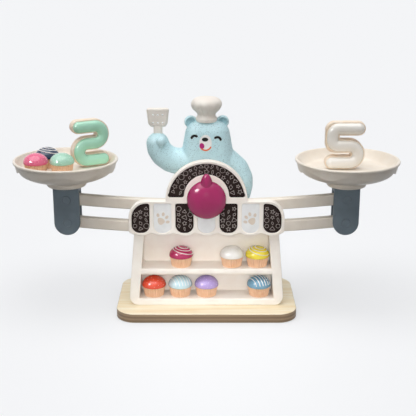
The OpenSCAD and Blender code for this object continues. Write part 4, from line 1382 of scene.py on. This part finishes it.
    def spatula(self) -> Form:
        """Stretch the blade over its corners, bore its six holes and add its neck.

        Returns:
            The spatula.
        """
        x, y = self.spatula_x, self.spatula_y
        corners = [(x + s * wide, y, z, self.blade_r) for wide, z in self.blade for s in (-1, 1)]
        holes = Form()
        for k in (-1, 0, 1):
            for z in self.hole_rows:
                spot = at(x + self.hole_step * k, self.middle_y + y, z)
                bmesh.ops.create_cone(holes.bm, cap_ends=True, segments=20, radius1=self.hole_r,
                                      radius2=self.hole_r, depth=12, matrix=spot @ turned(90, "X"))
        neck = [(x + s * self.neck_half, y, z, self.neck_r) for s in (-1, 1) for z in self.neck]
        return self.hull(corners, 3).cut(holes).join(self.hull(neck, 3))

    def build(self) -> None:
        """Build the bear with everything on it."""
        body = self.body()
        skin = BVHTree.FromBMesh(body.bm)
        body.piece("bear_body", BEAR_BLUE, "stand", "bear_blue", ["bear_front", "bear_rear"])
        (ears, hollows), (more, deeper) = [self.ear(x, z) for x, z in self.ears]
        ears.join(more).piece("bear_ears", BEAR_BLUE, "stand", "bear_blue")
        # The skins over the ear hollows carry painted shade in a deeper blue.
        hollows.join(deeper).piece("ear_hollow_shade", SHADED_EAR_BLUE, "stand", "bear_blue")
        self.hull(self.thumb).piece("bear_thumb", BEAR_BLUE, "stand", "bear_blue")
        self.face(skin)
        self.hat().piece("hat", CREAM, "stand", "cream", ["chef_hat"])
        self.spatula().piece("spatula_blade", CREAM, "stand", "cream", ["spatula"])


class Figure(Enum):
    """The two numerals, by the path of their stroke."""

    TWO = "two"
    FIVE = "five"


@dataclass
class Numeral:
    """A biscuit numeral with a bead of icing along its stroke."""

    figure: Figure
    icing: Finish
    icing_slot: str
    x: float
    y: float
    yaw: float
    foot: float = 146.1
    wide: float = 41.0
    tall: float = 50.0
    stroke: float = 14.4
    thick: float = 9.0
    middle: float = 0.498
    corner: float = 6.2
    edge: float = 1.1
    edge_angle: float = 40.0
    bead_high: float = 4.8
    bead_faces: int = 14
    bead_lift: float = 0.02
    margin: float = 1.4
    degrees_per_step: float = 9.0

    def moves(self) -> list[tuple[str, Point, float]]:
        """List the stroke's moves after its start: a line to a point, or a turn about one in degrees.

        Returns:
            The kind of each move, its point and its angle.
        """
        h = self.stroke / 2
        top, mid, right = self.tall - h, self.tall * self.middle, self.wide - h
        low, up, c = (mid - h) / 2, (top - mid) / 2, self.corner
        end = [("turn", (right - low, h + low), -180.0), ("line", (h, h), 0.0)]
        if self.figure is Figure.FIVE:
            return [("line", (h + c, top), 0.0), ("turn", (h + c, top - c), 90.0),
                    ("line", (h, mid + c), 0.0), ("turn", (h + c, mid + c), 90.0),
                    ("line", (right - low, mid), 0.0), *end]
        return [("line", (h + up, top), 0.0), ("turn", (h + up, mid + up), 180.0),
                ("line", (right - low, mid), 0.0), *end]

    def bead(self) -> Form:
        """Sweep a half-round bead along the stroke, with round ends.

        Returns:
            The bead, with its numeral's lower left corner at the origin.
        """
        form = Form()
        half, count = self.stroke / 2 - self.margin, self.bead_faces
        here = Vector((self.wide - self.stroke / 2, 0.0, self.tall - self.stroke / 2))
        angles = [math.pi * k / count for k in range(count + 1)]
        row = [form.bm.verts.new(here + Vector((0.0, -self.bead_high * math.sin(a), half * math.cos(a))))
               for a in angles]
        edges = [form.bm.edges.new(pair) for pair in zip(row, row[1:])]
        self.round_end(form, row[:count // 2 + 1], edges[:count // 2], here, 180.0)
        for kind, spot, angle in self.moves():
            goal = Vector((spot[0], 0.0, spot[1]))
            if kind == "line":
                made = bmesh.ops.extrude_edge_only(form.bm, edges=edges)["geom"]
                row = [g for g in made if isinstance(g, bmesh.types.BMVert)]
                bmesh.ops.translate(form.bm, verts=row, vec=goal - here)
                here = goal
            else:
                steps = max(6, round(abs(angle) / self.degrees_per_step))
                made = bmesh.ops.spin(form.bm, geom=row + edges, cent=goal, axis=(0, -1, 0),
                                      angle=math.radians(angle), steps=steps)["geom_last"]
                row = [g for g in made if isinstance(g, bmesh.types.BMVert)]
                here = goal + Matrix.Rotation(math.radians(-angle), 3, "Y") @ (here - goal)
            edges = [g for g in made if isinstance(g, bmesh.types.BMEdge)]
        upper = [v for v in row if v.co.z >= here.z - MERGE / 2]
        rims = [e for e in edges if all(v in upper for v in e.verts)]
        self.round_end(form, upper, rims, here, -180.0)
        form.close()
        rim = [e for e in form.bm.edges if e.is_boundary]
        bmesh.ops.edgeloop_fill(form.bm, edges=rim)
        return form.close()

    @staticmethod
    def round_end(form: Form, verts: list[bmesh.types.BMVert], edges: list[bmesh.types.BMEdge],
                  spot: Vector, angle: float) -> None:
        """Close a bead's end with half a dome.

        Args:
            form: The bead.
            verts: The upper half of the end's outline.
            edges: The edges between them.
            spot: The end's middle.
            angle: How far the half outline turns, in degrees.
        """
        bmesh.ops.spin(form.bm, geom=verts + edges, cent=spot, axis=(0, 1, 0),
                       angle=math.radians(angle), steps=16)

    def other_way(self, co: Vector) -> Vector:
        """Swap left and right within the numeral's width."""
        return Vector((self.wide - co.x, co.y, co.z))

    def build(self) -> None:
        """Soften the biscuit and lay the icing on it."""
        name = self.figure.value
        body = f"number_{name}"
        biscuit = Form.of_node(f"{name}_biscuit").soften(self.edge, angle=self.edge_angle)
        biscuit.piece(f"number_{name}_biscuit", BISCUIT, body, "biscuit", [f"{name}_biscuit"])
        bead = self.bead()
        if self.figure is Figure.TWO:
            bead.bend(self.other_way).close()
        spot = (at(self.x, self.y, self.foot) @ turned(self.yaw, "Z")
                @ at(-self.wide / 2, -self.thick / 2 - self.bead_lift, 0))
        bead.place(spot).piece(f"number_{name}_icing", self.icing, body, self.icing_slot, [f"{name}_icing"])


class Topping(Enum):
    """What lies on an icing: sprinkles, or white piped lines and how they run."""

    SPRINKLES = "sprinkles"
    STRIPES = "stripes"
    SWIRL = "swirl"


@dataclass
class Cupcake:
    """A cupcake weight: a pleated cup, an icing dome and its topping."""

    name: str
    colour: str
    shade: str
    topping: Topping = Topping.SPRINKLES
    turn: float = 20.0
    roughness: float = 0.14
    dome_r: float = 12.6
    dome_h: float = 10.8
    dome_gap: float = 0.1
    crown: float = 1.2
    cup_r: float = 10.0
    cup_h: float = 10.0
    cup_inset: float = 0.7
    cup_edge: float = 0.35
    pleats: int = 26
    pleat_deep: float = 0.42
    pipe_r: float = 0.5
    stripes: tuple[float, ...] = (-8.4, -5.2, -2.0, 1.2, 4.4, 7.6)
    stripe_run: Point = (16.0, 148.0)
    swirls: tuple[tuple[float, float, float, float], ...] = (
        (9.6, -150, 300, -78), (11.6, -110, 220, -78), (6.4, -120, 250, -72))
    grains: int = 44
    grain_r: float = 0.32
    grain_shape: tuple[float, float, float] = (1.9, 0.8, 0.7)
    grain_band: Point = (0.12, 0.86)

    @property
    def rise(self) -> float:
        """Height of the dome above its widest ring."""
        return self.dome_h - self.crown

    def pleat(self, co: Vector) -> Vector:
        """Fold a point of the cup's wall in or out.

        Args:
            co: The point.

        Returns:
            Its new place.
        """
        fold = self.pleat_deep * (math.cos(self.pleats * math.atan2(co.y, co.x)) - 1)
        scale = 1 + fold / co.xy.length if co.xy.length > self.cup_r / 2 else 1.0
        return Vector((co.x * scale, co.y * scale, co.z))

    def cup(self) -> Form:
        """Shape the pleated cup.

        Returns:
            The cup, standing at the origin.
        """
        form = Form()
        bmesh.ops.create_cone(form.bm, cap_ends=True, segments=self.pleats * 6, radius1=self.cup_r,
                              radius2=self.dome_r - self.cup_inset, depth=self.cup_h,
                              matrix=at(0, 0, self.cup_h / 2))
        return form.soften(self.cup_edge, 2, 50.0).bend(self.pleat)

    def dome(self) -> Form:
        """Spin the icing.

        Returns:
            The dome, above a cup at the origin.
        """
        r, base, ring = self.dome_r, self.cup_h + self.dome_gap, self.cup_h + self.crown
        edge = [(r - 1.2, base), (r - 0.5, base + 0.2), (r - 0.1, base + 0.75)]
        cap = [(r * math.cos(a), ring + self.rise * math.sin(a)) for a in quarter(16)]
        return Form().lathe([(0.0, base), *edge, *cap[:-1], (0.0, cap[-1][1])], 72)

    def stripe(self, offset: float, start: float, sweep: float) -> Form:
        """Sweep one piped line over the dome, in a plane that faces left and right.

        Args:
            offset: Distance of its plane from the dome's middle.
            start: Where it starts, in degrees above the dome's front edge.
            sweep: How far it runs, in degrees.

        Returns:
            The line on a ball of the dome's radius.
        """
        form = Form()
        reach = math.sqrt(self.dome_r ** 2 - offset ** 2)
        bmesh.ops.create_circle(form.bm, cap_ends=True, segments=10, radius=self.pipe_r)
        form.place(turned(-start, "X") @ at(offset, -reach, 0))
        geom = form.bm.verts[:] + form.bm.edges[:] + form.bm.faces[:]
        bmesh.ops.spin(form.bm, geom=geom, cent=(0, 0, 0), axis=(1, 0, 0), angle=-math.radians(sweep),
                       steps=28, use_duplicate=False)
        return form.close()

    def piped_lines(self) -> Form:
        """Lay the piped lines on the dome.

        Returns:
            The lines.
        """
        lines = Form()
        if self.topping is Topping.STRIPES:
            for offset in self.stripes:
                lines.join(self.stripe(offset, *self.stripe_run))
        else:
            for offset, start, sweep, lean in self.swirls:
                lines.join(self.stripe(offset, start, sweep), turned(lean, "Y"))
        squash = Matrix.Diagonal((1.0, 1.0, self.rise / self.dome_r, 1.0))
        return lines.place(at(0, 0, self.cup_h + self.crown) @ squash @ turned(self.turn, "Z"))

    def sprinkles(self) -> Form:
        """Strew small grains over the dome, each half sunk.

        Returns:
            The grains.
        """
        grains = Form()
        lowest, band = self.grain_band
        ring = self.cup_h + self.crown
        golden_turn = math.pi * (3 - math.sqrt(5))
        for k in range(self.grains):
            turn = k * golden_turn
            up = math.asin(lowest + band * (k + 0.5) / self.grains)
            side = Vector((math.cos(turn) * math.cos(up), math.sin(turn) * math.cos(up), math.sin(up)))
            spot = at(side.x * self.dome_r, side.y * self.dome_r, ring + side.z * self.rise)
            lie = side.to_track_quat("Z", "Y").to_matrix().to_4x4() @ Matrix.Rotation(1.7 * k, 4, "Z")
            bmesh.ops.create_icosphere(grains.bm, subdivisions=2, radius=self.grain_r,
                                       matrix=spot @ lie @ Matrix.Diagonal((*self.grain_shape, 1.0)))
        return grains

    def build(self) -> None:
        """Build the cupcake where its solid stands."""
        low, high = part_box(f"{self.name}_icing")
        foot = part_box(f"{self.name}_cup")[0].z / MM
        spot = at((low.x + high.x) / 2 / MM, (low.y + high.y) / 2 / MM, foot)
        body, tint = f"{self.name}_cupcake", f"{self.name}_tint"
        self.cup().place(spot).piece(f"{self.name}_paper_cup", CUP_PAPER, body, "cup", [f"{self.name}_cup"],
                                     sharp=60)
        icing = MouldedPlastic(f"ABS, {self.name} gloss", self.colour, self.shade, self.roughness,
                               spread=0.03, cloud_mm=6.0, coat=0.35)
        self.dome().place(spot).piece(f"{self.name}_dome", icing, body, tint, [f"{self.name}_icing"])
        if self.topping is Topping.SPRINKLES:
            pale = MouldedPlastic(f"ABS, pale {self.name} grains", paler(self.colour), paler(self.shade),
                                  0.3, spread=0.03, cloud_mm=6.0)
            self.sprinkles().place(spot).piece(f"{self.name}_piping", pale, body, tint)
        else:
            self.piped_lines().place(spot).piece(f"{self.name}_piping", PIPED, body, tint)


@dataclass
class Studio:
    """The camera, the pale floor and the soft light; lamps are placed in metres."""

    camera_place: tuple[float, float, float] = (0.0, -897.58, 376.07)
    camera_pitch: float = 16.82
    lens: float = 77.38
    sensor: float = 36.0
    shift: float = 0.0036
    floor_half: float = 20000.0
    floor_drop: float = 0.2
    sky_colour: str = "#f7f7f8"
    sky: float = 0.2
    sun: float = 2.6
    sun_spread: float = 70.0
    sun_place: tuple[float, float, float] = (-0.14, -0.14, 1.0)
    box: float = 14.0
    box_size: Point = (0.5, 0.34)
    box_place: tuple[float, float, float] = (-1.0, -0.85, 0.95)
    box_aim: float = 0.1
    fill: float = 20.0
    fill_cone: float = 22.0
    fill_size: float = 0.12
    fill_place: tuple[float, float, float] = (0.0, -0.75, 0.3)
    fill_aim: float = 0.06

    def camera(self) -> None:
        """Stand the camera where the photograph was taken from."""
        lens = bpy.data.cameras.new("camera")
        lens.lens = self.lens
        lens.sensor_width = self.sensor
        lens.shift_x = self.shift
        lens.clip_end = 60.0
        eye = bpy.data.objects.new("camera", lens)
        eye.location = Vector(self.camera_place) * MM
        eye.rotation_euler = (math.radians(90 - self.camera_pitch), 0, 0)
        bpy.context.scene.collection.objects.link(eye)
        bpy.context.scene.camera = eye

    def floor(self) -> None:
        """Lay a wide pale floor just below the board."""
        form = Form()
        bmesh.ops.create_grid(form.bm, x_segments=2, y_segments=2, size=self.floor_half)
        form.place(Matrix.Scale(MM, 4))
        mesh = bpy.data.meshes.new("floor")
        form.bm.to_mesh(mesh)
        mesh.materials.append(PAPER.material())
        floor = bpy.data.objects.new("floor", mesh)
        floor.location.z = -self.floor_drop * MM
        bpy.context.scene.collection.objects.link(floor)

    def world(self) -> None:
        """Give the toy a dim sky all round, and the camera the paper's colour behind it."""
        world = bpy.data.worlds.new("studio")
        world.use_nodes = True
        tree = world.node_tree
        tree.nodes.clear()
        glow = add_node(tree, "ShaderNodeBackground",
                        {"Color": linear(self.sky_colour), "Strength": self.sky})
        paper = add_node(tree, "ShaderNodeBackground",
                         {"Color": linear(PAPER.colour), "Strength": 1.0})
        both = add_node(tree, "ShaderNodeMixShader", links={
            0: seen_rays(tree), 1: glow.outputs["Background"], 2: paper.outputs["Background"]})
        add_node(tree, "ShaderNodeOutputWorld", links={"Surface": both.outputs["Shader"]})
        bpy.context.scene.world = world

    @staticmethod
    def hang(lamp: bpy.types.Light, place: Sequence[float], height: float = 0.0) -> bpy.types.Object:
        """Hang a lamp so that it points at the toy's axis.

        Args:
            lamp: The lamp.
            place: Where it hangs.
            height: The height on the axis that it points at.

        Returns:
            The lamp's object.
        """
        hung = bpy.data.objects.new(lamp.name, lamp)
        hung.location = Vector(place)
        back = hung.location - Vector((0.0, 0.0, height))
        hung.rotation_euler = back.to_track_quat("Z", "Y").to_euler()
        bpy.context.scene.collection.objects.link(hung)
        return hung

    def lamps(self) -> None:
        """Hang a broad lamp above, a box at the upper left for the highlights and a lamp at the bays."""
        sun = bpy.data.lights.new("broad lamp", "SUN")
        sun.energy = self.sun
        sun.angle = math.radians(self.sun_spread)
        self.hang(sun, self.sun_place)
        box = bpy.data.lights.new("soft box", "AREA")
        box.shape = "RECTANGLE"
        box.size, box.size_y = self.box_size
        box.energy = self.box
        self.hang(box, self.box_place, self.box_aim).visible_diffuse = False
        low = bpy.data.lights.new("bay light", "SPOT")
        low.energy = self.fill
        low.spot_size = math.radians(self.fill_cone)
        low.spot_blend = 1.0
        low.shadow_soft_size = self.fill_size
        self.hang(low, self.fill_place, self.fill_aim).visible_glossy = False

    def build(self) -> None:
        """Set the stage."""
        self.camera()
        self.floor()
        self.world()
        self.lamps()
        bpy.context.scene.view_settings.view_transform = "Standard"


def main() -> None:
    """Build the toy and its stage in order."""
    logging.basicConfig(level=logging.INFO, format="%(message)s")
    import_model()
    Studio().build()
    BoardAndStand().build()
    Awning().build()
    Balance().build()
    Carrier("left", centre_x=-146.25, wave_turn=0.0).build()
    Carrier("right", centre_x=146.25, wave_turn=-4.0).build()
    Bear().build()
    Numeral(Figure.TWO, GREEN_ICING, "green_icing", x=-122.25, y=18.0, yaw=28.0).build()
    Numeral(Figure.FIVE, CREAM_ICING, "white_icing", x=142.75, y=5.5, yaw=0.0).build()
    carry(STEEL, "five_slug")
    for cake in (
        Cupcake("red", "#ee5a3d", "#e54e33"),
        Cupcake("sky", "#cfe9ef", "#c3e0e8", Topping.STRIPES, 24.0, pipe_r=0.3),
        Cupcake("lilac", "#bfa8e2", "#b29ad8"),
        Cupcake("slate", "#79a9c4", "#6d9db9", Topping.STRIPES, 28.0),
        Cupcake("rose", "#c02a63", "#b32258", Topping.SWIRL, 10.0),
        Cupcake("white", "#f7f5f1", "#f0ede7", roughness=0.5),
        Cupcake("yellow", "#f6e23e", "#efd934", Topping.SWIRL, -15.0),
        Cupcake("pink", "#f76f97", "#f1648d"),
        Cupcake("mint", "#b3e2cb", "#a8d9c1"),
        Cupcake("navy", "#1f3b5c", "#1a3350", Topping.SWIRL, 35.0, pipe_r=0.6),
    ):
        cake.build()


if __name__ == "__main__":
    main()
